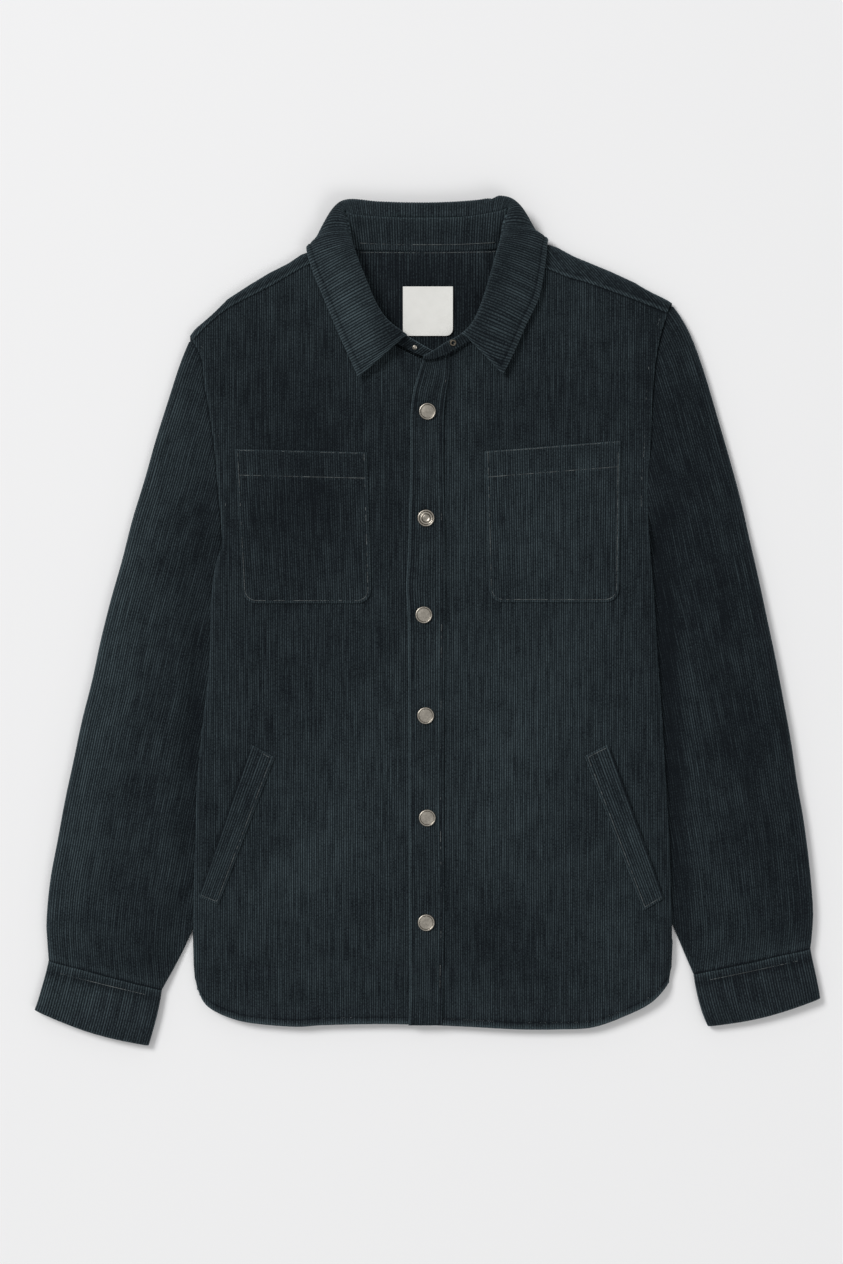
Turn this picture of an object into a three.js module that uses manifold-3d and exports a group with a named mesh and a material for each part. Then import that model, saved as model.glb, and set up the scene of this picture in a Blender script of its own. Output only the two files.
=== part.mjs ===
import * as THREE from 'three';
import { mergeVertices } from 'three/addons/utils/BufferGeometryUtils.js';
import Module from 'manifold-3d';

// A corduroy overshirt laid out flat on its back, fastened, with its front up.
// Millimetres. +X is the wearer's left, +Y points to the collar and +Z up.
// It lies on the plane z = 0, and every piece is a cloth wall of its own.

const wasm = await Module();
wasm.setup();

// Driving sizes
const WALL = 1.6; // one layer of corduroy with its facing
const DOUBLE_WALL = 2.4; // collar, stand and cuffs: two layers turned and pressed
const LABEL_WALL = 1;
const SEAM_GAP = 0.3;
const LAY_GAP = 0.6; // under a piece that is sewn on top of a panel
const YOKE_GAP = 0.9; // between the two yokes, and at the shoulder seams
const FRONT_HEIGHT = 10; // outer face of the fronts above the table
const CUFF_HEIGHT = 10.5;
const SIDE_ROLL = 11; // how far in from the side the front rolls down to the back
const SLEEVE_ROLL = 9;
const TUCK_LIFT = 4.5; // how far a sleeve's inner edge raises the side of the body
const TUCK_REACH = 29; // breadth of the raised side
const TUCK_BLEND = 34; // the slope from there down to the table
const COLLAR_LIFT = 3.6; // how far the folded collar raises the back yoke
const UNDERARM_Y = 70;
const TUCK_END_Y = -300;
const BACK_SEAM_Y = 226; // the back yoke's lower seam
const PLACKET_SEAM_X = 13.6; // where the two fronts meet, under the placket
const SNAP_RADIUS = 8.15;
const SNAP_HEIGHT = 2.1;
const POST_RADIUS = 2.2;
const EYELET_RADIUS = 3.2;

// Outlines, each from the top down or from the centre out, as x and y
const table = (names, rows) => rows.map((row) => {
  const keys = names.split(' ');
  return Object.fromEntries(keys.map((key, column) => [key, row[column]]));
});

const LEFT_ARMHOLE = table('x y', [
  [-221, 264], [-215, 254], [-211.5, 242], [-210, 223], [-207, 208], [-202, 175],
  [-199, 148], [-197, 122], [-193.8, 91], [-193, 70],
]);
const RIGHT_ARMHOLE = table('x y', [
  [226, 290], [222, 279], [218, 264], [214, 240], [211, 199], [210, 168],
  [208, 144], [207, 119], [208, 87], [209, 70],
]);
const LEFT_SIDE = table('x y', [
  [-193, 70], [-199, 56], [-203.5, 21], [-205, -37], [-209, -74], [-213, -109],
  [-217, -152], [-218, -195], [-219.5, -239], [-220, -268], [-219.5, -296],
  [-219, -335], [-216.5, -352],
]);
const RIGHT_SIDE = table('x y', [
  [209, 70], [210.5, 56], [213.5, 21], [216, -23], [221, -95], [223.5, -138],
  [227, -195], [229, -253], [230, -295], [230, -319], [227.5, -340],
]);
const HEM = table('x y', [
  [-216.5, -352], [-207, -362], [-189, -371], [-166, -377], [-125, -380.5], [-97, -379],
  [-45, -378], [2, -379], [47, -381], [86, -383], [125, -383], [156, -381],
  [187, -370], [211, -357.5], [227.5, -340],
]);
const LEFT_YOKE_SEAM = table('x y', [
  [-87, 345], [-113, 335], [-128, 327], [-143, 318], [-158, 310], [-176, 301],
  [-191, 292], [-205, 280.5], [-213, 272.5], [-221, 263.6],
]);
const RIGHT_YOKE_SEAM = table('x y', [
  [87, 343], [112, 332], [133, 323.5], [149, 319], [172, 311], [196, 302], [226, 290],
]);
const LEFT_NECK = table('x y', [
  [13.3, 244.6], [0, 244.6], [-13, 250.3], [-28, 258.3], [-46, 269], [-66, 286.5],
  [-80, 307.5], [-86.5, 330], [-87, 345],
]);
const RIGHT_NECK = table('x y', [
  [13.9, 244.7], [22, 249.5], [38, 260], [52.5, 271], [66.5, 285], [80.5, 305.5],
  [87, 328], [87, 343],
]);
const SHOULDER_FOLD = table('x y', [
  [-224, 264], [-221, 269], [-216, 276], [-204, 288], [-188, 304], [-168, 317], [-149, 328.5],
  [-131, 337.5], [-119, 345.5], [-112, 348], [-100, 350.5], [-84, 356],
  [84, 358], [100, 351.5], [107, 352], [114, 355], [122, 352.5], [138, 344], [172, 330],
  [196, 319], [211, 309], [230.5, 297.5],
]);

// Soft folds of the fronts: middle, heading from +X, reach each way and height
const FRONT_FOLDS = table('x y heading length breadth height', [
  [-176, 84, 62, 46, 11, 1.5],
  [-168, -30, 84, 90, 20, -1.0],
  [-120, -190, 88, 120, 26, 1.5],
  [-70, -60, 94, 120, 22, 0.9],
  [-46, -250, 90, 90, 17, -1.1],
  [-100, 250, 70, 60, 20, 1.2],
  [-178, 220, 78, 60, 14, -1.2],
  [44, -120, 88, 150, 16, -1.2],
  [96, -210, 93, 120, 24, 1.6],
  [150, -60, 97, 110, 22, -1.1],
  [186, 96, 116, 52, 12, 1.5],
  [110, 250, 108, 60, 20, 1.3],
  [186, 224, 98, 60, 14, -1.1],
  [62, -330, 86, 50, 18, 1.2],
  [-160, -330, 82, 46, 16, 1.1],
]);

// Soft folds of the two sleeves, in the same columns
const SLEEVE_FOLDS = table('x y heading length breadth height', [
  [-236, 120, 66, 70, 11, 1.2],
  [-262, 20, 100, 80, 12, -1.1],
  [-250, -80, 96, 90, 13, 1.2],
  [-318, -210, 100, 80, 11, -1.1],
  [-270, -230, 105, 70, 12, 1.3],
  [-292, -296, 78, 34, 9, 1.4],
  [-324, -306, 96, 24, 7, -1.2],
  [231, 232, 84, 62, 8, 1.6],
  [252, 110, 112, 80, 11, 1.0],
  [282, 0, 78, 90, 13, -1.1],
  [262, -110, 82, 90, 12, 1.2],
  [322, -190, 80, 80, 11, 1.2],
  [280, -240, 74, 70, 12, -1.2],
  [300, -290, 100, 34, 9, 1.4],
  [334, -296, 84, 26, 8, -1.1],
]);

// Rings of each sleeve from the armhole to the cuff: outer fold, inner edge,
// breadth hidden under the body, and heights of the middle and the inner edge
const LEFT_SLEEVE = table('outerX outerY innerX innerY under middle edge', [
  [-224.6, 263.6, -193.6, 69, 0, 10, 3.7],
  [-229, 254, -193, 64.5, 9, 10.2, 3.7],
  [-237, 232, -190.5, 57, 19, 10.8, 3.7],
  [-249, 194, -186.5, 43, 30, 11.6, 3.7],
  [-262, 150, -183, 27, 33, 12.2, 3.7],
  [-276, 102, -181, 8, 32, 12.5, 3.7],
  [-290, 49, -181, -18, 29, 12.5, 3.7],
  [-303, -2, -182, -52, 27, 12.5, 3.7],
  [-315, -54.5, -186, -90, 26.5, 12.5, 3.7],
  [-326.5, -100, -191, -132, 25.5, 12.5, 3.7],
  [-338, -150, -197, -175, 22.5, 12.5, 3.7],
  [-348, -205, -204, -222, 17.5, 12.5, 3.7],
  [-356, -250, -213, -268, 10, 12.3, 3.7],
  [-358.6, -285, -229.5, -308, 0, 12, 4.4],
  [-356.6, -318.4, -250.1, -346.4, 0, 11, 9],
]);
const RIGHT_SLEEVE = table('outerX outerY innerX innerY under middle edge', [
  [231, 297.4, 210.9, 68.4, 8, 10, 3.7],
  [238, 287, 210, 64, 16, 10.2, 3.7],
  [249, 267, 207, 56, 24, 10.8, 3.7],
  [261, 234, 202.5, 44, 31, 11.6, 3.7],
  [274, 190, 199, 28, 30, 12.2, 3.7],
  [289, 137, 197, 6, 31, 12.5, 3.7],
  [303, 77, 196, -22, 28, 12.5, 3.7],
  [315, 25, 196, -56, 27.5, 12.5, 3.7],
  [326, -27, 198, -94, 26, 12.5, 3.7],
  [335, -78, 201, -134, 25, 12.5, 3.7],
  [344, -128, 206, -176, 22.5, 12.5, 3.7],
  [353, -180, 212, -220, 18.5, 12.5, 3.7],
  [360, -232, 222, -262, 10, 12.3, 3.7],
  [363, -275, 238, -302, 0, 12, 4.4],
  [360.5, -307.2, 250.4, -331.4, 0, 11, 9],
]);
const LEFT_CUFF = table('outerX outerY innerX innerY bow', [
  [-356.7, -318.7, -250.2, -346.7, 0],
  [-359.5, -331, -251.8, -357, 0.6],
  [-363.5, -345, -254.8, -371, 1.8],
  [-367, -357, -258.5, -385, 3.4],
  [-369.9, -365, -262.5, -398.6, 4.6],
]);
const RIGHT_CUFF = table('outerX outerY innerX innerY bow', [
  [360.6, -307.5, 250.5, -331.7, 0],
  [362.8, -319, 252.4, -343, 0.6],
  [365.5, -331, 255.5, -357, 1.8],
  [368, -343, 259.5, -370, 3.2],
  [369.9, -354, 264, -380.5, 4.4],
]);

// Collar leaf, from the wearer's right point round the back to the left one:
// roll at the stand, pull of the curve, and outer edge
const COLLAR = table('rollX rollY rollZ pullX pullY pullZ edgeX edgeY edgeZ', [
  [-19, 269.5, 19.5, -40, 251, 20.5, -65, 229, 17],
  [-37, 283, 21.6, -54, 268, 23, -74, 249, 16.6],
  [-48.5, 300, 23, -65, 288, 25, -84, 271, 16],
  [-58.5, 324, 24, -76, 315, 26, -97, 302, 15.5],
  [-66.5, 344, 24.3, -86, 337, 26, -107, 326, 15],
  [-71, 357, 24.3, -93, 354, 25, -113.2, 345.5, 13.6],
  [-73, 364, 24.3, -103, 366, 23, -113, 353, 6.5],
  [-75, 372, 24.3, -112, 380, 17, -102, 344, 0],
  [-77, 384, 24.3, -98, 406, 15, -91, 337, 0],
  [-69, 381, 24.2, -79, 427, 15, -76, 333, 0],
  [-45, 379, 24, -47, 425, 15, -46, 331, 0],
  [-15, 378.5, 24, -15, 423.5, 15, -15, 330, 0],
  [15, 378.7, 24, 15, 424, 15, 15, 330, 0],
  [45, 380, 24, 47, 427, 15, 46, 331, 0],
  [67, 384.5, 24.2, 76, 430, 15, 75, 333, 0],
  [75, 387, 24.3, 98, 407, 15, 91, 338, 0],
  [73, 375, 24.3, 111, 382, 17, 103, 346, 0],
  [71, 367, 24.3, 103, 371, 23, 113, 360, 6.5],
  [69, 359, 24.3, 93, 358, 25, 112.5, 351, 13.6],
  [64, 342, 24.3, 87, 338, 26, 110, 330, 15],
  [57.5, 318, 24, 80, 313, 26, 104.5, 303.5, 15.5],
  [51, 298, 23, 71, 291, 25, 93, 279, 16],
  [43.5, 281.5, 21.6, 62, 270, 23, 82, 254, 16.6],
  [33, 270.5, 20, 51, 252, 20.5, 71, 232, 17],
]);

// Collar stand, the same way round: neck seam and top edge of its outer face
const STAND = table('seamX seamY seamZ topX topY topZ', [
  [0, 248.2, 9.4, 6.5, 253.6, 11.4],
  [-13, 253.3, 10, -4.5, 259.5, 13],
  [-27, 260.8, 10.4, -18, 267, 15.6],
  [-44.5, 271, 10.6, -37, 281, 17.6],
  [-64.5, 288.3, 10.6, -49, 299, 19],
  [-78.2, 309, 10.6, -59, 323, 20],
  [-85, 330, 10.4, -67, 343, 20.3],
  [-85.2, 345, 10.2, -71.5, 356, 20.3],
  [-82, 353, 8, -74, 368, 20],
  [-74, 353.3, 5, -75, 378, 19.6],
  [-62, 350.6, 3.6, -64, 379.6, 19.2],
  [-30, 349.4, 3.6, -31, 379.2, 19],
  [0, 349.2, 3.6, 0, 379, 19],
  [30, 349.5, 3.6, 31, 379.6, 19],
  [62, 351.2, 3.6, 62, 383, 19.2],
  [74, 354, 5, 73, 380, 19.6],
  [82, 355, 8, 71.5, 371, 20],
  [85.2, 347, 10.2, 69, 358, 20.3],
  [85, 329, 10.4, 63.5, 340, 20.3],
  [78.4, 306.5, 10.6, 57, 317, 20],
  [65, 286.5, 10.8, 50.5, 297, 19],
  [51, 272.6, 11.8, 43, 281, 17.8],
  [36.5, 262.3, 13.6, 31.5, 269.5, 17.2],
  [20.5, 252.8, 15.2, 17.5, 262, 17.8],
  [7, 247.2, 15.4, 7, 255, 17.6],
  [-4.6, 246.2, 15.2, -3.4, 248.9, 17],
]);

// Chest pockets: corners of the mouth, the two sides and the foot
const POCKETS = table('name mouthX0 mouthY0 mouthX1 mouthY1 footX0 footX1 footY corner', [
  ['pocket_chest_right', -181, 162.5, -57, 159.5, -173.5, -53, 17.5, 13],
  ['pocket_chest_left', 54, 160.5, 182, 170.5, 58, 180, 18.5, 13],
]);

// Slanted hand-pocket welts: the mouth side and the stitched side
const WELTS = table('name topX0 topY0 topX1 topY1 footX0 footY0 footX1 footY1', [
  ['welt_right', -165.5, -115, -143.5, -127, -215, -258, -196.5, -265.5],
  ['welt_left', 147.5, -126, 170, -114.5, 203, -271, 222, -259.5],
]);

// Placket edges from the neck down: free edge and stitched edge
const PLACKET = table('y free sewn', [
  [245.5, -4.6, 21], [230, -9.6, 20.5], [215, -13.8, 17.5], [191, -16, 15.4], [144, -16, 15],
  [107, -17, 16], [61, -18.4, 16.5], [33, -20, 16.6], [5, -18.6, 16.5], [-73, -18, 15.8],
  [-186, -17.6, 15.2], [-261, -17.4, 16], [-339, -16.8, 14.6], [-379, -17.8, 13.8],
]);

const SNAPS = table('x y', [
  [0, 197.7], [-1.4, 97.6], [-3.4, 6.7], [-1.7, -87.9], [-0.2, -183.9], [-1.2, -282.2],
]);

// The open top fastener, by its place along the stand and up it
const FASTENERS = table('name place share', [
  ['stand_post', 0.05, 0.5], ['stand_eyelet', 0.905, 0.68],
]);

const LABEL = { x: 0.4, y: 292.5, width: 47, height: 46 };

// Colours of the cloth and the hard pieces
const CORDUROY = { color: 0x21292d, roughness: 0.95, metalness: 0 };
const LABEL_CLOTH = { color: 0xdedcd4, roughness: 0.9, metalness: 0 };
const NICKEL = { color: 0x9a958c, roughness: 0.35, metalness: 1 };

// Small numbers and curves
const lerp = THREE.MathUtils.lerp;
const smooth = (value) => THREE.MathUtils.smoothstep(value, 0, 1);
const steps = (count) => Array.from({ length: count + 1 }, (_, index) => index / count);

function readRow(rows, key, at, want) {
  const rising = rows[rows.length - 1][key] > rows[0][key];
  const ordered = rising ? rows : [...rows].reverse();
  const next = ordered.findIndex((row) => row[key] > at);
  if (next === 0) return ordered[0][want];
  if (next < 0) return ordered[ordered.length - 1][want];
  const [low, high] = [ordered[next - 1], ordered[next]];
  return lerp(low[want], high[want], (at - low[key]) / (high[key] - low[key]));
}

// A table blended smoothly between its rows, for one place from 0 to 1
function readSmooth(rows, place) {
  const at = place * (rows.length - 1);
  const first = Math.min(Math.floor(at), rows.length - 2);
  const t = at - first;
  const pick = (index) => rows[THREE.MathUtils.clamp(index, 0, rows.length - 1)];
  const [a, b, c, d] = [pick(first - 1), pick(first), pick(first + 1), pick(first + 2)];
  const blend = (key) => 0.5 * (2 * b[key] + (c[key] - a[key]) * t
    + (2 * a[key] - 5 * b[key] + 4 * c[key] - d[key]) * t * t
    + (3 * b[key] - a[key] - 3 * c[key] + d[key]) * t * t * t);
  return Object.fromEntries(Object.keys(b).map((key) => [key, blend(key)]));
}

// A path through outline rows, by the share of its length
function path(rows) {
  const points = rows.map(({ x, y }) => new THREE.Vector2(x, y));
  const lengths = [0];
  points.slice(1).forEach((point, index) => {
    lengths.push(lengths[index] + point.distanceTo(points[index]));
  });
  const total = lengths[lengths.length - 1];
  return (share) => {
    const goal = share * total;
    let index = lengths.findIndex((length) => length >= goal);
    index = Math.max(1, index < 0 ? lengths.length - 1 : index);
    const t = (goal - lengths[index - 1]) / (lengths[index] - lengths[index - 1]);
    return points[index - 1].clone().lerp(points[index], t);
  };
}

// A side of the body from the hem up, with the underarm at a given share of it
function sidePath(side, armhole, underarmShare) {
  const below = path([...side].reverse());
  const above = path([...armhole].reverse());
  return (share) => (share < underarmShare
    ? below(share / underarmShare)
    : above((share - underarmShare) / (1 - underarmShare)));
}

// Heights of the laid-out body
function foldHeight(folds, x, y) {
  return folds.reduce((sum, fold) => {
    const heading = THREE.MathUtils.degToRad(fold.heading);
    const [dx, dy] = [x - fold.x, y - fold.y];
    const along = (dx * Math.cos(heading) + dy * Math.sin(heading)) / fold.length;
    const across = (dy * Math.cos(heading) - dx * Math.sin(heading)) / fold.breadth;
    return sum + fold.height * Math.exp(-across * across - along * along);
  }, 0);
}

function insetFromSide(x, y) {
  const left = x - readRow([...LEFT_ARMHOLE, ...LEFT_SIDE.slice(1)], 'y', y, 'x');
  const right = readRow([...RIGHT_ARMHOLE, ...RIGHT_SIDE.slice(1)], 'y', y, 'x') - x;
  return Math.max(0, Math.min(left, right));
}

// Underside of the back: on the table, but over the sleeves and the collar leaf
function underside(x, y) {
  const beside = smooth((TUCK_REACH + TUCK_BLEND - insetFromSide(x, y)) / TUCK_BLEND);
  const below = smooth((UNDERARM_Y + 44 - y) / 26) * smooth((y - TUCK_END_Y + 34) / 30);
  const collar = smooth((y - 278) / 50) * smooth((142 - Math.abs(x)) / 33);
  return TUCK_LIFT * beside * below + COLLAR_LIFT * collar;
}

// Outer face of the fronts, with the roll down to the back at each side
function frontHeight(x, y) {
  const top = FRONT_HEIGHT + 0.3 * underside(x, y) * smooth((200 - y) / 40)
    + foldHeight(FRONT_FOLDS, x, y) * smooth(insetFromSide(x, y) / 16) * smooth((300 - y) / 40);
  const foot = Math.max(underside(x, y - 8), underside(x, y + 8)) + WALL + SEAM_GAP;
  const near = 1 - Math.min(1, insetFromSide(x, y) / SIDE_ROLL);
  const rolled = foot + (top - foot) * Math.sqrt(1 - near * near);
  return lerp(top, rolled, smooth((UNDERARM_Y + 6 - y) / 14));
}

// Solids
function closedBody(points, triangles) {
  const geometry = new THREE.BufferGeometry();
  geometry.setAttribute('position', new THREE.Float32BufferAttribute(points.flat(), 3));
  geometry.setIndex(triangles);
  return geometry;
}

// A wall from a grid of its outer points. Rows run up and columns to the right
// when seen from outside, and the inner points lie behind them. The column
// named upright stands on the back, so its wall is as thick but level below.
function clothWall(grid, thickness, facing = 1, upright = -1) {
  const [rows, columns] = [grid.length, grid[0].length];
  const pick = (j, i) => grid[THREE.MathUtils.clamp(j, 0, rows - 1)][
    THREE.MathUtils.clamp(i, 0, columns - 1)];
  const outer = [];
  const inner = [];
  for (let j = 0; j < rows; j += 1) {
    for (let i = 0; i < columns; i += 1) {
      const across = pick(j, i + 1).clone().sub(pick(j, i - 1));
      const up = pick(j + 1, i).clone().sub(pick(j - 1, i));
      const normal = across.cross(up);
      if (i === upright && pick(j, i).y < UNDERARM_Y) normal.z = 0;
      normal.normalize().multiplyScalar(facing);
      outer.push(pick(j, i).toArray());
      inner.push(pick(j, i).clone().addScaledVector(normal, -thickness).toArray());
    }
  }
  const triangles = [];
  const face = (a, b, c, d) => {
    if (facing > 0) triangles.push(a, b, c, a, c, d);
    else triangles.push(a, c, b, a, d, c);
  };
  const back = rows * columns;
  const at = (j, i) => j * columns + i;
  for (let j = 0; j < rows - 1; j += 1) {
    for (let i = 0; i < columns - 1; i += 1) {
      face(at(j, i), at(j, i + 1), at(j + 1, i + 1), at(j + 1, i));
      face(back + at(j + 1, i), back + at(j + 1, i + 1), back + at(j, i + 1), back + at(j, i));
    }
    face(back + at(j, 0), at(j, 0), at(j + 1, 0), back + at(j + 1, 0));
    face(at(j, columns - 1), back + at(j, columns - 1),
      back + at(j + 1, columns - 1), at(j + 1, columns - 1));
  }
  for (let i = 0; i < columns - 1; i += 1) {
    face(back + at(0, i), back + at(0, i + 1), at(0, i + 1), at(0, i));
    face(at(rows - 1, i), at(rows - 1, i + 1), back + at(rows - 1, i + 1), back + at(rows - 1, i));
  }
  return closedBody([...outer, ...inner], triangles);
}

// A tube from rings that hold an outer and an inner loop of points
function tubeWall(rings, flip) {
  const count = rings[0].outer.length;
  const points = [...rings.flatMap((ring) => ring.outer), ...rings.flatMap((ring) => ring.inner)];
  const back = rings.length * count;
  const triangles = [];
  const face = (a, b, c, d) => {
    if (flip) triangles.push(a, c, b, a, d, c);
    else triangles.push(a, b, c, a, c, d);
  };
  for (let i = 0; i < count; i += 1) {
    const next = (i + 1) % count;
    for (let ring = 0; ring < rings.length - 1; ring += 1) {
      const [here, there] = [ring * count, (ring + 1) * count];
      face(here + i, here + next, there + next, there + i);
      face(back + there + i, back + there + next, back + here + next, back + here + i);
    }
    const last = (rings.length - 1) * count;
    face(back + i, back + next, next, i);
    face(last + i, last + next, back + last + next, back + last + i);
  }
  return closedBody(points.map((point) => point.toArray()), triangles);
}

// A patch between four outlines, as a grid of plan points
function patch({ top, bottom, left, right }, acrossShares, upShares) {
  const corner = {
    topLeft: top(0), topRight: top(1), bottomLeft: bottom(0), bottomRight: bottom(1),
  };
  return upShares.map((v) => acrossShares.map((u) => {
    const point = new THREE.Vector2();
    point.addScaledVector(bottom(u), 1 - v).addScaledVector(top(u), v);
    point.addScaledVector(left(v), 1 - u).addScaledVector(right(v), u);
    point.addScaledVector(corner.bottomLeft, -(1 - u) * (1 - v));
    point.addScaledVector(corner.bottomRight, -u * (1 - v));
    point.addScaledVector(corner.topLeft, -(1 - u) * v);
    point.addScaledVector(corner.topRight, -u * v);
    return point;
  }));
}

const raise = (grid, height) => grid.map((row) => row.map(({ x, y }) => (
  new THREE.Vector3(x, y, height(x, y)))));

// Columns of a panel, closer together where its side rolls down
const ROLL_STEPS = [0, 0.0035, 0.013, 0.029, 0.05];
const FRONT_UNDERARM = 0.66;
const BACK_UNDERARM = 0.72;
const rowShares = (underarm, crowding) => [
  ...steps(12).map((share) => underarm * share),
  ...steps(8).slice(1).map((share) => 1 - (1 - underarm) * (1 - share) ** crowding),
];
const panelRows = rowShares(FRONT_UNDERARM, 1.4);
const panelShares = [...ROLL_STEPS, ...steps(10).slice(1).map((share) => lerp(0.05, 1, share))];

const cutHem = (from, to) => {
  const inside = HEM.filter(({ x }) => x > from && x < to);
  const at = (x) => ({ x, y: readRow(HEM, 'x', x, 'y') });
  return [at(from), ...inside, at(to)];
};

function frontRight() {
  const outlines = {
    top: path([...LEFT_NECK, ...LEFT_YOKE_SEAM.slice(1)].reverse()),
    bottom: path(cutHem(HEM[0].x, PLACKET_SEAM_X - SEAM_GAP)),
    left: sidePath(LEFT_SIDE, LEFT_ARMHOLE, FRONT_UNDERARM),
    right: path([{ x: PLACKET_SEAM_X - SEAM_GAP, y: -379.3 }, LEFT_NECK[0]]),
  };
  return clothWall(raise(patch(outlines, panelShares, panelRows), frontHeight), WALL, 1, 0);
}

function frontLeft() {
  const outlines = {
    top: path([...RIGHT_NECK, ...RIGHT_YOKE_SEAM.slice(1)]),
    bottom: path(cutHem(PLACKET_SEAM_X, HEM[HEM.length - 1].x)),
    left: path([{ x: PLACKET_SEAM_X, y: -379.4 }, RIGHT_NECK[0]]),
    right: sidePath(RIGHT_SIDE, RIGHT_ARMHOLE, FRONT_UNDERARM),
  };
  const shares = panelShares.map((share) => 1 - share).reverse();
  return clothWall(raise(patch(outlines, shares, panelRows), frontHeight), WALL, 1, shares.length - 1);
}

// Columns of the back, closer together over the tucked sleeves at both sides
const backShares = [0, 0.02, 0.05, 0.08, 0.11, 0.15, 0.25, 0.37, 0.5];
const backAcross = [...backShares, ...backShares.slice(0, -1).map((share) => 1 - share).reverse()];

const belowSeam = (rows) => {
  const x = readRow(rows, 'y', BACK_SEAM_Y, 'x');
  return [{ x, y: BACK_SEAM_Y }, ...rows.filter(({ y }) => y < BACK_SEAM_Y)];
};
const aboveSeam = (rows) => {
  const y = BACK_SEAM_Y + SEAM_GAP;
  return [...rows.filter((row) => row.y > y), { x: readRow(rows, 'y', y, 'x'), y }];
};

function backPanel() {
  const left = belowSeam(LEFT_ARMHOLE);
  const right = belowSeam(RIGHT_ARMHOLE);
  const outlines = {
    top: path([left[0], right[0]]),
    bottom: path(HEM),
    left: sidePath(LEFT_SIDE, left, BACK_UNDERARM),
    right: sidePath(RIGHT_SIDE, right, BACK_UNDERARM),
  };
  const rows = rowShares(BACK_UNDERARM, 1);
  return clothWall(raise(patch(outlines, backAcross, rows), underside), WALL, -1);
}

// The yoke's flat back half, up to the neck seam and the start of each roll
const SHOULDER_ROLL = 7;
const YOKE_NECK = table('x y', [
  [-84, 349], [-72, 348], [-60, 347], [0, 346.4], [60, 347.4], [72, 349], [84, 351],
]);

function shoulderRoll(x) {
  const fold = readRow(SHOULDER_FOLD, 'x', x, 'y');
  const seams = x < 0 ? LEFT_YOKE_SEAM : RIGHT_YOKE_SEAM;
  const seam = readRow(seams, 'x', x, 'y');
  return { fold, seam, radius: Math.min(SHOULDER_ROLL, fold - seam - YOKE_GAP - 0.3) };
}

function yokeTop(from, to) {
  return SHOULDER_FOLD.filter(({ x }) => x >= from && x <= to)
    .map(({ x, y }) => ({ x, y: y - shoulderRoll(x).radius }));
}

function yokeFlat(inset, height, wall, facing) {
  const leftFoot = aboveSeam(LEFT_ARMHOLE).map(({ x, y }) => ({ x: x + inset, y }));
  const rightFoot = aboveSeam(RIGHT_ARMHOLE).map(({ x, y }) => ({ x: x - inset, y }));
  const shoulders = [
    ...yokeTop(leftFoot[0].x, -85), ...YOKE_NECK, ...yokeTop(85, rightFoot[0].x),
  ].map(({ x, y }) => ({ x, y: y - inset }));
  const outlines = {
    top: path([{ x: leftFoot[0].x, y: leftFoot[0].y - inset }, ...shoulders,
      { x: rightFoot[0].x, y: rightFoot[0].y - inset }]),
    bottom: path([leftFoot[leftFoot.length - 1], rightFoot[rightFoot.length - 1]]),
    left: path([...leftFoot].reverse()),
    right: path([...rightFoot].reverse()),
  };
  return clothWall(raise(patch(outlines, steps(20), steps(7)), height), wall, facing);
}

// The yoke's front half on one shoulder: round the fold and down to its seam
const OVERLAP = 4;
const LAPPED = 0.15; // keeps the joined halves' faces off one plane
function yokeShoulder(fromX, toX) {
  const columns = steps(11).map((share) => {
    const x = lerp(fromX, toX, share);
    const { fold, seam, radius } = shoulderRoll(x);
    const base = underside(x, fold - radius) + LAPPED;
    const middle = (base + FRONT_HEIGHT) / 2;
    const arc = steps(6).map((turn) => {
      const angle = (turn - 0.5) * Math.PI;
      const y = fold - radius + radius * Math.cos(angle);
      return new THREE.Vector3(x, y, middle + (FRONT_HEIGHT - middle) * Math.sin(angle));
    });
    const start = new THREE.Vector3(x, fold - radius - OVERLAP, base);
    const end = new THREE.Vector3(x, seam + YOKE_GAP, FRONT_HEIGHT);
    return [start, ...arc, end];
  });
  const grid = columns[0].map((_, row) => columns.map((column) => column[row]));
  return clothWall(grid, WALL, -1);
}

// Booleans
function toManifold(geometry) {
  const bare = geometry.clone();
  bare.deleteAttribute('normal');
  bare.deleteAttribute('uv');
  const merged = mergeVertices(bare);
  return new wasm.Manifold(new wasm.Mesh({
    numProp: 3,
    vertProperties: Float32Array.from(merged.attributes.position.array),
    triVerts: Uint32Array.from(merged.index.array),
  }));
}

function fromManifold(solid) {
  const mesh = solid.getMesh();
  const geometry = new THREE.BufferGeometry();
  geometry.setAttribute('position', new THREE.BufferAttribute(mesh.vertProperties, 3));
  geometry.setIndex(new THREE.BufferAttribute(mesh.triVerts, 1));
  return geometry;
}

function backYoke() {
  const flat = toManifold(yokeFlat(0, underside, WALL, -1));
  const left = toManifold(yokeShoulder(-220.4, -86.7));
  const right = toManifold(yokeShoulder(86.7, 225.4));
  return fromManifold(flat.add(left).add(right));
}

const innerYokeTop = (x, y) => underside(x, y) + 2 * WALL + YOKE_GAP;
const innerYoke = () => yokeFlat(7, innerYokeTop, WALL, 1);

// Sleeves and cuffs: a ring runs over the top from the outer fold to the inner
// edge and back below, with a rolled end at each
function clusteredShares(count) {
  const even = steps(count).slice(1, -1).map((share) => lerp(0.07, 0.95, share));
  return [0, 0.006, 0.022, 0.045, 0.07, ...even, 0.95, 0.972, 0.99, 1];
}
const overShares = clusteredShares(9);
const underShares = [0.99, 0.972, 0.93, 0.8, 0.66, 0.52, 0.38, 0.24, 0.1, 0.045, 0.022, 0.006];

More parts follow.
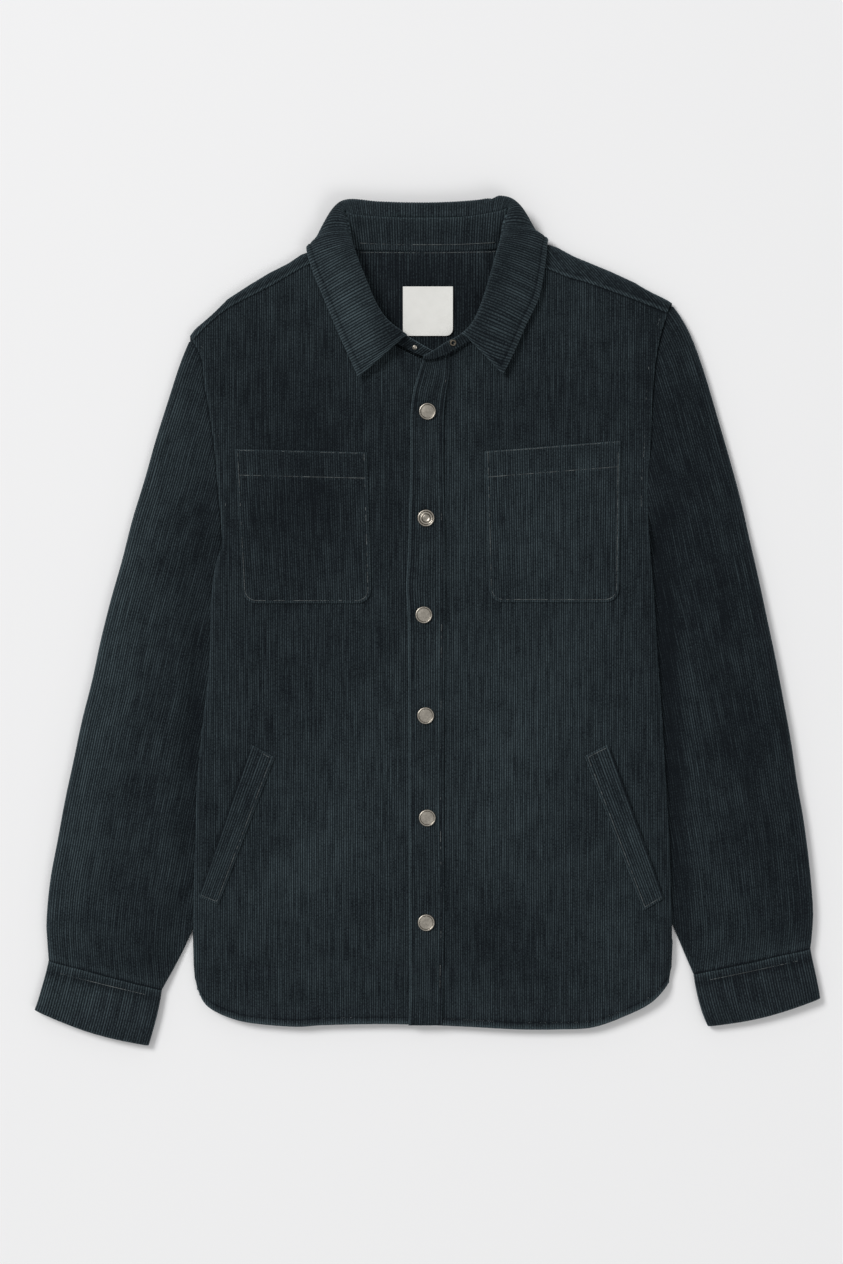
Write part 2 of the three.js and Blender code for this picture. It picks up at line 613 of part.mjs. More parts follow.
function tubeLoop(ring, wall, plan, bump) {
  const span = Math.hypot(ring.innerX - ring.outerX, ring.innerY - ring.outerY);
  const inset = wall / span;
  const edgeRoll = ring.edge / 2 + 0.6;
  const point = (share, over) => {
    const place = lerp(inset, 1 - inset, share);
    const { x, y } = plan(ring, place);
    const toOuter = Math.max(0, place - inset) * span;
    const toInner = Math.max(0, 1 - place - inset) * span;
    const fromOuter = Math.min(1, toOuter / (SLEEVE_ROLL - wall));
    const fromInner = Math.min(1, toInner / (edgeRoll - wall));
    const round = Math.sqrt(1 - (1 - fromOuter) ** 2) * Math.sqrt(1 - (1 - fromInner) ** 2);
    const rise = smooth(((1 - place) * span - ring.under - 3) / 26);
    const top = lerp(ring.edge, ring.middle, rise);
    const middle = place < 0.5 ? ring.middle / 2 : lerp(ring.edge, ring.middle, rise) / 2;
    const folded = top + bump(x, y) * rise * fromOuter;
    const z = over
      ? middle + (folded - wall - middle) * round
      : middle - (middle - wall) * round;
    return new THREE.Vector3(x, y, z);
  };
  return [
    ...overShares.map((share) => point(share, true)),
    ...underShares.map((share) => point(share, false)),
  ];
}

const mixRows = (rows, between) => rows.slice(1).flatMap((row, index) => (
  steps(between).slice(1).map((share) => (
    Object.fromEntries(Object.keys(row).map((key) => (
      [key, lerp(rows[index][key], row[key], share)])))))));

function sleeve(rows, armhole, flip) {
  const seam = path([{ x: rows[0].outerX, y: rows[0].outerY }, ...armhole.slice(1)]);
  const side = Math.sign(rows[0].outerX);
  const plan = (ring, place) => {
    const index = rows.indexOf(ring);
    const straight = new THREE.Vector2(
      lerp(ring.outerX, ring.innerX, place), lerp(ring.outerY, ring.innerY, place));
    const first = rows[0];
    const chord = new THREE.Vector2(
      lerp(first.outerX, first.innerX, place), lerp(first.outerY, first.innerY, place));
    const onSeam = seam(place).add(new THREE.Vector2(side * 0.8, 0));
    const bow = Math.max(0, 1 - index / 5);
    return straight.addScaledVector(onSeam.sub(chord), bow * bow);
  };
  const bump = (x, y) => foldHeight(SLEEVE_FOLDS, x, y);
  const rings = rows.map((ring, index) => {
    const soft = index === 0 ? () => 0 : bump;
    return { outer: tubeLoop(ring, 0, plan, soft), inner: tubeLoop(ring, WALL, plan, soft) };
  });
  return tubeWall(rings, flip);
}

function cuff(rows, flip) {
  const plan = (ring, place) => new THREE.Vector2(
    lerp(ring.outerX, ring.innerX, place),
    lerp(ring.outerY, ring.innerY, place) - ring.bow * Math.sin(Math.PI * place));
  const rings = rows.map((row) => {
    const ring = { ...row, under: -40, middle: CUFF_HEIGHT, edge: 9 };
    const flat = () => 0;
    return {
      outer: tubeLoop(ring, 0, plan, flat), inner: tubeLoop(ring, DOUBLE_WALL, plan, flat),
    };
  });
  return tubeWall(rings, flip);
}

// Collar
function collarLeaf() {
  const columns = steps(40).map((place) => {
    const row = readSmooth(COLLAR, place);
    const edge = new THREE.Vector3(row.edgeX, row.edgeY, Math.max(0, row.edgeZ));
    const pull = new THREE.Vector3(row.pullX, row.pullY, row.pullZ);
    const roll = new THREE.Vector3(row.rollX, row.rollY, row.rollZ);
    const outOfEdge = edge.clone().lerp(pull, 2 / 3);
    const intoRoll = roll.clone().lerp(pull, 2 / 3);
    const lying = smooth(1 - edge.z / 8);
    outOfEdge.z = lerp(outOfEdge.z, edge.z, lying);
    intoRoll.z = lerp(intoRoll.z, roll.z - 1, lying);
    return new THREE.CubicBezierCurve3(edge, outOfEdge, intoRoll, roll).getPoints(8);
  });
  const grid = columns[0].map((_, row) => columns.map((column) => column[row]));
  return clothWall(grid, DOUBLE_WALL, -1);
}

function collarStand() {
  const columns = steps(36).map((place) => {
    const row = readSmooth(STAND, place);
    const seam = new THREE.Vector3(row.seamX, row.seamY, row.seamZ);
    const top = new THREE.Vector3(row.topX, row.topY, row.topZ);
    return steps(2).map((share) => seam.clone().lerp(top, share));
  });
  const grid = columns[0].map((_, row) => columns.map((column) => column[row]));
  return clothWall(grid, DOUBLE_WALL, -1);
}

// Pieces sewn on the fronts
const onFront = (x, y) => frontHeight(x, y) + LAY_GAP + WALL;

function chestPocket(row) {
  const columns = [0, 0.025, 0.06, 0.105, 0.2, 0.35, 0.5, 0.65, 0.8, 0.895, 0.94, 0.975, 1];
  const footWidth = row.footX1 - row.footX0;
  const grid = steps(8).map((v) => columns.map((u) => {
    const nearest = Math.min(u, 1 - u) * footWidth;
    const into = 1 - Math.min(1, nearest / row.corner);
    const footY = row.footY + row.corner * (1 - Math.sqrt(1 - into * into));
    const mouthX = lerp(row.mouthX0, row.mouthX1, u);
    const mouthY = lerp(row.mouthY0, row.mouthY1, u);
    const point = new THREE.Vector2(lerp(row.footX0, row.footX1, u), footY);
    return point.lerp(new THREE.Vector2(mouthX, mouthY), v);
  }));
  return clothWall(raise(grid, onFront), WALL);
}

function welt(row) {
  const grid = steps(12).map((v) => steps(3).map((u) => {
    const foot = new THREE.Vector2(
      lerp(row.footX0, row.footX1, u), lerp(row.footY0, row.footY1, u));
    const top = new THREE.Vector2(lerp(row.topX0, row.topX1, u), lerp(row.topY0, row.topY1, u));
    return foot.lerp(top, v);
  }));
  return clothWall(raise(grid, onFront), WALL);
}

function placket() {
  const [first, last] = [PLACKET[0], PLACKET[PLACKET.length - 1]];
  const grid = steps(30).map((v) => {
    const y = lerp(last.y, first.y, v);
    return steps(4).map((u) => new THREE.Vector2(
      lerp(readRow(PLACKET, 'y', y, 'free'), readRow(PLACKET, 'y', y, 'sewn'), u), y));
  });
  return clothWall(raise(grid, onFront), WALL);
}

function neckLabel() {
  const half = { x: LABEL.width / 2, y: LABEL.height / 2 };
  const grid = steps(4).map((v) => steps(3).map((u) => new THREE.Vector2(
    LABEL.x + lerp(-half.x, half.x, u), LABEL.y + lerp(-half.y, half.y, v))));
  const height = (x, y) => innerYokeTop(x, y) + LAY_GAP + LABEL_WALL;
  return clothWall(raise(grid, height), LABEL_WALL);
}

// Hard pieces, turned about their own axis
function turned(profile, segments) {
  const points = profile.map(([radius, height]) => new THREE.Vector2(radius, height));
  const geometry = new THREE.LatheGeometry(points, segments);
  geometry.deleteAttribute('normal');
  geometry.deleteAttribute('uv');
  return mergeVertices(geometry.rotateX(Math.PI / 2), 1e-4);
}

// A pressed cap with a rolled rim and a low dome inside it
const snapCap = () => turned([
  [0, 0], [SNAP_RADIUS - 1, 0], [SNAP_RADIUS, 0.7], [SNAP_RADIUS - 0.5, SNAP_HEIGHT - 0.2],
  [SNAP_RADIUS - 1.4, SNAP_HEIGHT], [SNAP_RADIUS - 2.4, SNAP_HEIGHT - 0.5],
  [SNAP_RADIUS / 2, SNAP_HEIGHT - 0.15], [0, SNAP_HEIGHT],
], 14);
const standPost = () => turned([
  [0, 0], [POST_RADIUS, 0], [POST_RADIUS, 0.6], [POST_RADIUS / 2, 1.2], [0, 1.4],
], 12);
const standEyelet = () => turned([
  [1.4, 0], [EYELET_RADIUS, 0], [EYELET_RADIUS - 0.3, 0.8], [1.7, 0.9], [1.4, 0],
], 14);

// A place on the stand's outer face and the way it faces there
function onStand(place, share) {
  const at = (where) => {
    const row = readSmooth(STAND, where);
    const seam = new THREE.Vector3(row.seamX, row.seamY, row.seamZ);
    const top = new THREE.Vector3(row.topX, row.topY, row.topZ);
    return { point: seam.clone().lerp(top, share), up: top.sub(seam) };
  };
  const { point, up } = at(place);
  const across = at(place - 0.01).point.sub(at(place + 0.01).point);
  return { point, normal: across.cross(up).normalize() };
}

// Assembly
const garment = new THREE.Group();

function addPiece(name, geometry, finish) {
  const mesh = new THREE.Mesh(geometry, new THREE.MeshStandardMaterial({ ...finish }));
  mesh.name = name;
  garment.add(mesh);
  return mesh;
}

addPiece('back_panel', backPanel(), CORDUROY);
addPiece('back_yoke', backYoke(), CORDUROY);
addPiece('inner_yoke', innerYoke(), CORDUROY);
addPiece('front_right', frontRight(), CORDUROY);
addPiece('front_left', frontLeft(), CORDUROY);
addPiece('placket', placket(), CORDUROY);
addPiece('collar_stand', collarStand(), CORDUROY);
addPiece('collar_leaf', collarLeaf(), CORDUROY);
POCKETS.forEach((row) => addPiece(row.name, chestPocket(row), CORDUROY));
WELTS.forEach((row) => addPiece(row.name, welt(row), CORDUROY));
addPiece('sleeve_right', sleeve(LEFT_SLEEVE, LEFT_ARMHOLE, true), CORDUROY);
addPiece('sleeve_left', sleeve(RIGHT_SLEEVE, RIGHT_ARMHOLE, false), CORDUROY);
addPiece('cuff_right', cuff(LEFT_CUFF, true), CORDUROY);
addPiece('cuff_left', cuff(RIGHT_CUFF, false), CORDUROY);
addPiece('neck_label', neckLabel(), LABEL_CLOTH);
SNAPS.forEach(({ x, y }, index) => {
  const snap = addPiece(`snap_${index + 1}`, snapCap(), NICKEL);
  snap.position.set(x, y, onFront(x, y) + SEAM_GAP);
});

FASTENERS.forEach(({ name, place, share }) => {
  const { point, normal } = onStand(place, share);
  const fastener = addPiece(name, name === 'stand_post' ? standPost() : standEyelet(), NICKEL);
  fastener.position.copy(point.addScaledVector(normal, SEAM_GAP));
  fastener.quaternion.setFromUnitVectors(new THREE.Vector3(0, 0, 1), normal);
});

export default garment;
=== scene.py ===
import math
from contextlib import contextmanager

import bpy
import numpy as np
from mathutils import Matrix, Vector


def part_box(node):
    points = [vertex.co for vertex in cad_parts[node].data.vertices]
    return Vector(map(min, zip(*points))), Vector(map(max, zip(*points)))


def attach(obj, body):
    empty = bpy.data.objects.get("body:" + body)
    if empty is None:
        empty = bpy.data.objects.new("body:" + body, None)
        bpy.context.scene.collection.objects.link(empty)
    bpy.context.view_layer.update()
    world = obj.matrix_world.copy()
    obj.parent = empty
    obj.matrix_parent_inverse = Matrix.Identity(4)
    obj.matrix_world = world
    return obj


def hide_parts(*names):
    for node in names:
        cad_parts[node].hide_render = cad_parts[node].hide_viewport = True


# A corduroy overshirt, laid out flat on its back and fastened. Sizes here are in
# millimetres until a mesh is made, and "right" and "left" are the wearer's.
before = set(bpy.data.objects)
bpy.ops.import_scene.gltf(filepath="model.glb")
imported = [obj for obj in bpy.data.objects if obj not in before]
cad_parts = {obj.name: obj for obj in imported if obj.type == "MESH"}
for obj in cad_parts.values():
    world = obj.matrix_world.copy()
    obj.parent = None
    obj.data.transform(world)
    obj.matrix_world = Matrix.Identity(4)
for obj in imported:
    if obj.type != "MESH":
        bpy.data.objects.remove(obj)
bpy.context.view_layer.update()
MM = 0.001

# Cloth
WALL = 1.6
DOUBLE_WALL = 2.4
LABEL_WALL = 0.8
LABEL_RISE = 1.8  # from the inner yoke up to the label's face
LAID_WALL = 2.1  # a piece sewn on a panel, down to that panel
RIB = 0.5  # from a valley of the pile up to a ridge
COLUMNS_PER_WALE = 4
WALE = 2.15  # breadth of one wale on the fronts, back and pockets
SLEEVE_WALE = 2.2
COLLAR_WALE = 2.4
YOKE_WALE = 2.6

# Heights and rolls, the same as the solids'
LAY_GAP = 0.6
SEAM_GAP = 0.3
YOKE_GAP = 0.9
FRONT_HEIGHT = 10.0
CUFF_HEIGHT = 10.5
SIDE_ROLL = 11.0
SLEEVE_ROLL = 9.0
SHOULDER_ROLL = 7.0
TUCK_LIFT = 4.5
TUCK_REACH = 29.0
TUCK_BLEND = 34.0
COLLAR_LIFT = 3.6
UNDERARM_Y = 70.0
TUCK_END_Y = -300.0
BACK_SEAM_Y = 226.0
PLACKET_SEAM_X = 13.6


def named(names, values):
    return dict(zip(names.split(), values))


def table(names, rows):
    """A table with named columns, each an array."""
    return named(names, np.array(rows, float).T)


def join_tables(*parts):
    return {key: np.concatenate([part[key] for part in parts]) for key in parts[0]}


def rows_of(part, chosen):
    return {key: values[chosen] for key, values in part.items()}


def read(part, key, at, want):
    """A table read at one column's values, in a straight line between its rows."""
    order = np.argsort(part[key], kind="stable")
    return np.interp(at, part[key][order], part[want][order])


def read_smooth(part, place):
    """A table blended smoothly between its rows, for places from 0 to 1."""
    count = len(next(iter(part.values())))
    at = np.clip(place, 0, 1) * (count - 1)
    first = np.minimum(at.astype(int), count - 2)
    t = at - first
    picked = [np.clip(first + offset, 0, count - 1) for offset in (-1, 0, 1, 2)]
    made = {}
    for key, values in part.items():
        a, b, c, d = (values[index] for index in picked)
        made[key] = 0.5 * (2 * b + (c - a) * t + (2 * a - 5 * b + 4 * c - d) * t**2
                           + (3 * b - a - 3 * c + d) * t**3)
    return made


def eased(part):
    """An outline with a smooth line through its points."""
    return read_smooth(part, np.linspace(0, 1, 12 * len(part["y"])))


def lerp(low, high, share):
    return low + (high - low) * share


def smooth(value):
    t = np.clip(value, 0, 1)
    return t * t * (3 - 2 * t)


def quarter_round(distance, reach):
    """Height of a rounded edge, from 0 at the edge to 1 at its reach."""
    into = 1 - np.clip(distance / reach, 0, 1)
    return np.sqrt(1 - into * into)


def edge_drop(distance, reach):
    """How far a rounded edge falls away, from 1 at the edge to 0 at its reach."""
    return 1 - quarter_round(distance, reach)


def bell(distance, breadth):
    """A soft bump, from 1 in its middle to almost nothing at twice its breadth."""
    return np.exp(-(distance / breadth) ** 2)


def points_at(x, y, z):
    return np.stack(np.broadcast_arrays(x, y, z), -1)


def points_in(rows, line):
    """One line of points in a table, from its columns for X, Y and Z."""
    return np.stack([rows[line + axis] for axis in "XYZ"], -1)


def lengths_along(line):
    """How far along a line of points each of them lies."""
    return np.concatenate([[0], np.cumsum(np.linalg.norm(np.diff(line, axis=0), axis=1))])


def rounded_inset(dx, dy, corner):
    """Distance in from an outline with rounded corners."""
    in_corner = (dx < corner) & (dy < corner)
    round_part = corner - np.hypot(corner - dx, corner - dy)
    return np.where(in_corner, round_part, np.minimum(dx, dy))


# Outlines of the body, each from the top down or from the centre out
RIGHT_ARMHOLE = table("x y", [
    [-221, 264], [-215, 254], [-211.5, 242], [-210, 223], [-207, 208], [-202, 175],
    [-199, 148], [-197, 122], [-193.8, 91], [-193, 70],
])
LEFT_ARMHOLE = table("x y", [
    [226, 290], [222, 279], [218, 264], [214, 240], [211, 199], [210, 168],
    [208, 144], [207, 119], [208, 87], [209, 70],
])
RIGHT_SIDE = table("x y", [
    [-193, 70], [-199, 56], [-203.5, 21], [-205, -37], [-209, -74], [-213, -109],
    [-217, -152], [-218, -195], [-219.5, -239], [-220, -268], [-219.8, -296],
    [-219.3, -328], [-217.6, -343], [-213.5, -354],
])
LEFT_SIDE = table("x y", [
    [209, 70], [210.5, 56], [213.5, 21], [216, -23], [221, -95], [223.5, -138],
    [227, -195], [229, -253], [230, -295], [230, -319], [227.5, -340],
])
HEM = table("x y", [
    [-213.5, -354], [-205.5, -362.5], [-189, -371], [-166, -377], [-125, -380.5], [-97, -379],
    [-45, -378], [2, -379], [47, -381], [86, -383], [125, -383], [156, -381],
    [187, -370], [211, -357.5], [227.5, -340],
])
RIGHT_YOKE_SEAM = table("x y", [
    [-87, 345], [-113, 335], [-128, 327], [-143, 318], [-158, 310], [-176, 301],
    [-191, 292], [-205, 280.5], [-213, 272.5], [-221, 263.6],
])
LEFT_YOKE_SEAM = table("x y", [
    [87, 343], [112, 332], [133, 323.5], [149, 319], [172, 311], [196, 302], [226, 290],
])
RIGHT_NECK = table("x y", [
    [13.3, 244.6], [0, 244.6], [-13, 250.3], [-28, 258.3], [-46, 269], [-66, 286.5],
    [-80, 307.5], [-86.5, 330], [-87, 345],
])
LEFT_NECK = table("x y", [
    [13.6, 244.6], [22, 249.5], [38, 260], [52.5, 271], [66.5, 285], [80.5, 305.5],
    [87, 328], [87, 343],
])
SHOULDER_FOLD = table("x y", [
    [-224, 264], [-221, 269], [-216, 276], [-204, 288], [-188, 304], [-168, 317], [-149, 328.5],
    [-131, 337.5], [-119, 345.5], [-112, 348], [-100, 350.5], [-84, 356],
    [84, 358], [100, 351.5], [107, 352], [114, 355], [122, 352.5], [138, 344], [172, 330],
    [196, 319], [211, 309], [230.5, 297.5],
])
YOKE_NECK = table("x y", [
    [-84, 349], [-72, 348], [-60, 347], [0, 346.4], [60, 347.4], [72, 349], [84, 351],
])

# Soft folds: middle, heading from +X, reach each way and height
FOLD = "x y heading length breadth height"
FRONT_FOLDS = table(FOLD, [
    [-176, 84, 62, 46, 11, 1.5],
    [-168, -30, 84, 90, 20, -1.0],
    [-120, -190, 88, 120, 26, 1.5],
    [-70, -60, 94, 120, 22, 0.9],
    [-46, -250, 90, 90, 17, -1.1],
    [-100, 250, 70, 60, 20, 1.2],
    [-178, 220, 78, 60, 14, -1.2],
    [44, -120, 88, 150, 16, -1.2],
    [96, -210, 93, 120, 24, 1.6],
    [150, -60, 97, 110, 22, -1.1],
    [186, 96, 116, 52, 12, 1.5],
    [110, 250, 108, 60, 20, 1.3],
    [186, 224, 98, 60, 14, -1.1],
    [62, -330, 86, 50, 18, 1.2],
    [-160, -330, 82, 46, 16, 1.1],
])
SLEEVE_FOLDS = table(FOLD, [
    [-236, 120, 66, 70, 11, 1.2],
    [-262, 20, 100, 80, 12, -1.1],
    [-250, -80, 96, 90, 13, 1.2],
    [-318, -210, 100, 80, 11, -1.1],
    [-270, -230, 105, 70, 12, 1.3],
    [-292, -296, 78, 34, 9, 1.4],
    [-324, -306, 96, 24, 7, -1.2],
    [231, 232, 84, 62, 8, 1.6],
    [252, 110, 112, 80, 11, 1.0],
    [282, 0, 78, 90, 13, -1.1],
    [262, -110, 82, 90, 12, 1.2],
    [322, -190, 80, 80, 11, 1.2],
    [280, -240, 74, 70, 12, -1.2],
    [300, -290, 100, 34, 9, 1.4],
    [334, -296, 84, 26, 8, -1.1],
])

# Where the pile lies lighter or darker than the rest, and where light and shade are painted in
PILE_LAY_AND_LIGHT = table(FOLD, [
    # painted light on the wearer's right sleeve, with the pile's own lighter and darker stretches
    [-310, -120, 78, 330, 26, 0.5],
    [-262, -40, 80, 240, 24, -0.1],
    [-286, 60, 76, 150, 16, 0.3],
    [-262, -300, 90, 60, 16, -0.4],
    # painted shade on the wearer's left sleeve
    [300, -30, 102, 330, 60, -0.6],
    [312, -60, 102, 200, 12, 0.3],
    [-120, 190, 90, 90, 60, -0.5],
    [-120, 90, 90, 60, 60, -0.4],
    [-150, -10, 90, 90, 50, -0.1],
    [110, 200, 90, 60, 60, -0.3],
    [118, 100, 90, 56, 60, 0.35],
    [110, -60, 90, 80, 60, 0.15],
    [70, -150, 85, 80, 40, 0.45],
    [-60, -150, 60, 90, 50, 0.35],
    [-110, -235, 20, 80, 40, 0.3],
    [110, -235, 90, 40, 60, 0.0],
    [60, -305, 20, 60, 34, -0.35],
    [170, -300, 110, 60, 26, 0.25],
    # painted shade along both sides, where they lie over the sleeves
    [230, -100, 93, 280, 11, -0.9],
    [-219, -90, 87, 240, 9, -0.5],
    # painted shade on the front beside the placket's free edge
    [-30, 160, 88, 130, 16, -0.35],
    [30, 120, 88, 200, 12, 0.15],
    # painted shade inside the back of the neck
    [0, 300, 0, 75, 46, -0.75],
    # painted light on both leaves of the collar
    [-70, 290, 114, 70, 22, 1.25],
    [73, 284, 68, 62, 20, 0.6],
    [-310, -358, 165, 60, 24, 0.5],
])

# Outer fold and inner edge of each sleeve, with the breadth that lies under the body
RIGHT_SLEEVE_FOLD = table("x y", [
    [-224.6, 263.6], [-233, 243], [-244, 209], [-256, 171], [-266.5, 133.5], [-278, 96],
    [-287.5, 58], [-298, 21], [-307.5, -17], [-315.5, -54.5], [-325, -92], [-333, -130],
    [-341, -167], [-348, -205], [-355, -242.5], [-358.6, -280], [-358, -299], [-356.6, -318.4],
])
LEFT_SLEEVE_FOLD = table("x y", [
    [231, 297.4], [237, 289.5], [245, 276], [251.5, 261], [257, 246], [263, 227.5],
    [274, 190], [285, 152], [295, 115], [303.5, 77], [312, 39.5], [320, 2], [328, -36],
    [335, -73], [342, -111], [347.5, -148.5], [354, -186], [359, -224], [362.5, -261],
    [363, -280], [361.5, -299], [360.5, -307.2],
])
SLEEVE_EDGE = "x y under middle edge"
RIGHT_SLEEVE_EDGE = table(SLEEVE_EDGE, [
    [-193.6, 69, 0, 10, 3.7], [-193, 64.5, 9, 10.2, 3.7], [-190.5, 57, 19, 10.8, 3.7],
    [-186.5, 43, 30, 11.6, 3.7], [-183, 27, 33, 12.2, 3.7], [-181, 8, 32, 12.5, 3.7],
    [-181, -18, 29, 12.5, 3.7], [-182, -52, 27, 12.5, 3.7], [-186, -90, 26.5, 12.5, 3.7],
    [-191, -132, 25.5, 12.5, 3.7], [-197, -175, 22.5, 12.5, 3.7],
    [-204, -222, 17.5, 12.5, 3.7], [-213, -268, 10, 12.3, 3.7],
    [-229.5, -308, 0, 12, 4.4], [-250.1, -346.4, 0, 11, 9],
])
LEFT_SLEEVE_EDGE = table(SLEEVE_EDGE, [
    [210.9, 68.4, 8, 10, 3.7], [210, 64, 16, 10.2, 3.7], [207, 56, 24, 10.8, 3.7],
    [202.5, 44, 31, 11.6, 3.7], [199, 28, 30, 12.2, 3.7], [197, 6, 31, 12.5, 3.7],
    [196, -22, 28, 12.5, 3.7], [196, -56, 27.5, 12.5, 3.7], [198, -94, 26, 12.5, 3.7],
    [201, -134, 25, 12.5, 3.7], [206, -176, 22.5, 12.5, 3.7],
    [212, -220, 18.5, 12.5, 3.7], [222, -262, 10, 12.3, 3.7],
    [238, -302, 0, 12, 4.4], [250.4, -331.4, 0, 11, 9],
])
CUFF = "outerX outerY innerX innerY bow"
RIGHT_CUFF = table(CUFF, [
    [-356.7, -318.7, -250.2, -346.7, 0],
    [-359.5, -331, -251.8, -357, 0.6],
    [-363.5, -345, -254.8, -371, 1.8],
    [-367, -357, -258.5, -385, 3.4],
    [-369.9, -365, -262.5, -398.6, 4.6],
])
LEFT_CUFF = table(CUFF, [
    [360.6, -307.5, 250.5, -331.7, 0],
    [362.8, -319, 252.4, -343, 0.6],
    [365.5, -331, 255.5, -357, 1.8],
    [368, -343, 259.5, -370, 3.2],
    [369.9, -354, 264, -380.5, 4.4],
])

# Collar leaf from the wearer's right point round the back to the left one:
# roll at the stand, pull of the curve, and outer edge
COLLAR = table("rollX rollY rollZ pullX pullY pullZ edgeX edgeY edgeZ", [
    [-19, 269.5, 19.5, -40, 251, 20.5, -65, 229, 17],
    [-37, 283, 21.6, -54, 268, 23, -74, 249, 16.6],
    [-48.5, 300, 23, -65, 288, 25, -84, 271, 16],
    [-58.5, 324, 24, -76, 315, 26, -97, 302, 15.5],
    [-66.5, 344, 24.3, -86, 337, 26, -107, 326, 15],
    [-71, 357, 24.3, -93, 354, 25, -113.2, 345.5, 13.6],
    [-73, 364, 24.3, -103, 366, 23, -113, 353, 6.5],
    [-75, 372, 24.3, -112, 380, 17, -102, 344, 0],
    [-77, 384, 24.3, -98, 406, 15, -91, 337, 0],
    [-69, 381, 24.2, -79, 427, 15, -76, 333, 0],
    [-45, 379, 24, -47, 425, 15, -46, 331, 0],
    [-15, 378.5, 24, -15, 423.5, 15, -15, 330, 0],
    [15, 378.7, 24, 15, 424, 15, 15, 330, 0],
    [45, 380, 24, 47, 427, 15, 46, 331, 0],
    [67, 384.5, 24.2, 76, 430, 15, 75, 333, 0],
    [75, 387, 24.3, 98, 407, 15, 91, 338, 0],
    [73, 375, 24.3, 111, 382, 17, 103, 346, 0],
    [71, 367, 24.3, 103, 371, 23, 113, 360, 6.5],
    [69, 359, 24.3, 93, 358, 25, 112.5, 351, 13.6],
    [64, 342, 24.3, 87, 338, 26, 110, 330, 15],
    [57.5, 318, 24, 80, 313, 26, 104.5, 303.5, 15.5],
    [51, 298, 23, 71, 291, 25, 93, 279, 16],
    [43.5, 281.5, 21.6, 62, 270, 23, 82, 254, 16.6],
    [33, 270.5, 20, 51, 252, 20.5, 71, 232, 17],
])
# How far the wales of the leaf run askew of those rows, from edge to roll
LEAF_SKEW = table("row skew", [
    [0, -0.64], [1, -0.57], [2, -0.4], [3, -0.02], [4, 0.12], [5, 0], [17, 0], [18, -0.1],
    [19, -0.18], [20, -0.2], [21, 0], [22, 0.66], [23, 1.38],
])
STAND = table("seamX seamY seamZ topX topY topZ", [
    [0, 248.2, 9.4, 6.5, 253.6, 11.4],
    [-13, 253.3, 10, -4.5, 259.5, 13],
    [-27, 260.8, 10.4, -18, 267, 15.6],
    [-44.5, 271, 10.6, -37, 281, 17.6],
    [-64.5, 288.3, 10.6, -49, 299, 19],
    [-78.2, 309, 10.6, -59, 323, 20],
    [-85, 330, 10.4, -67, 343, 20.3],
    [-85.2, 345, 10.2, -71.5, 356, 20.3],
    [-82, 353, 8, -74, 368, 20],
    [-74, 353.3, 5, -77, 383.6, 19.6],
    [-62, 350.6, 3.6, -65.5, 381.8, 19.2],
    [-30, 349.4, 3.6, -31, 379.2, 19],
    [0, 349.2, 3.6, 0, 379, 19],
    [30, 349.5, 3.6, 31, 379.6, 19],
    [62, 351.2, 3.6, 63.8, 384.6, 19.2],
    [74, 354, 5, 75, 386.8, 19.6],
    [82, 355, 8, 71.5, 371, 20],
    [85.2, 347, 10.2, 69, 358, 20.3],
    [85, 329, 10.4, 63.5, 340, 20.3],
    [78.4, 306.5, 10.6, 57, 317, 20],
    [65, 286.5, 10.8, 50.5, 297, 19],
    [51, 272.6, 11.8, 43, 281, 17.8],
    [36.5, 262.3, 13.6, 31.5, 269.5, 17.2],
    [20.5, 252.8, 15.2, 17.5, 262, 17.8],
    [7, 247.2, 15.4, 7, 255, 17.6],
    [-4.6, 246.2, 15.2, -3.4, 248.9, 17],
])

POCKET = "mouthX0 mouthY0 mouthX1 mouthY1 footX0 footX1 footY corner"
POCKETS = {
    "pocket_chest_right": named(POCKET, [-181, 162.5, -57, 159.5, -173.5, -53, 17.5, 13]),
    "pocket_chest_left": named(POCKET, [54, 160.5, 182, 170.5, 58, 180, 18.5, 13]),
}
WELT = "topX0 topY0 topX1 topY1 footX0 footY0 footX1 footY1 stitched"
WELTS = {
    "welt_right": named(WELT, [-165.5, -115, -143.5, -127, -215, -258, -196.5, -265.5, 1]),
    "welt_left": named(WELT, [147.5, -126, 170, -114.5, 203, -271, 222, -259.5, 0]),
}
PLACKET = table("y free sewn", [
    [245.5, -4.6, 21], [230, -9.6, 20.5], [215, -13.8, 17.5], [191, -16, 15.4], [144, -16, 15],
    [107, -17, 16], [61, -18.4, 16.5], [33, -20, 16.6], [5, -18.6, 16.5], [-73, -18, 15.8],
    [-186, -17.6, 15.2], [-261, -17.4, 16], [-339, -16.8, 14.6], [-379, -17.8, 13.8],
])
LABEL = {"x": 0.4, "y": 292.5, "width": 47, "height": 46}


# Heights of the laid-out body, the same as the solids'
def fold_height(folds, x, y):
    total = np.zeros(np.broadcast(x, y).shape)
    for cx, cy, heading, length, breadth, height in zip(*folds.values()):
        turn = math.radians(heading)
        along = ((x - cx) * math.cos(turn) + (y - cy) * math.sin(turn)) / length
        across = ((y - cy) * math.cos(turn) - (x - cx) * math.sin(turn)) / breadth
        total += height * np.exp(-across**2 - along**2)
    return total


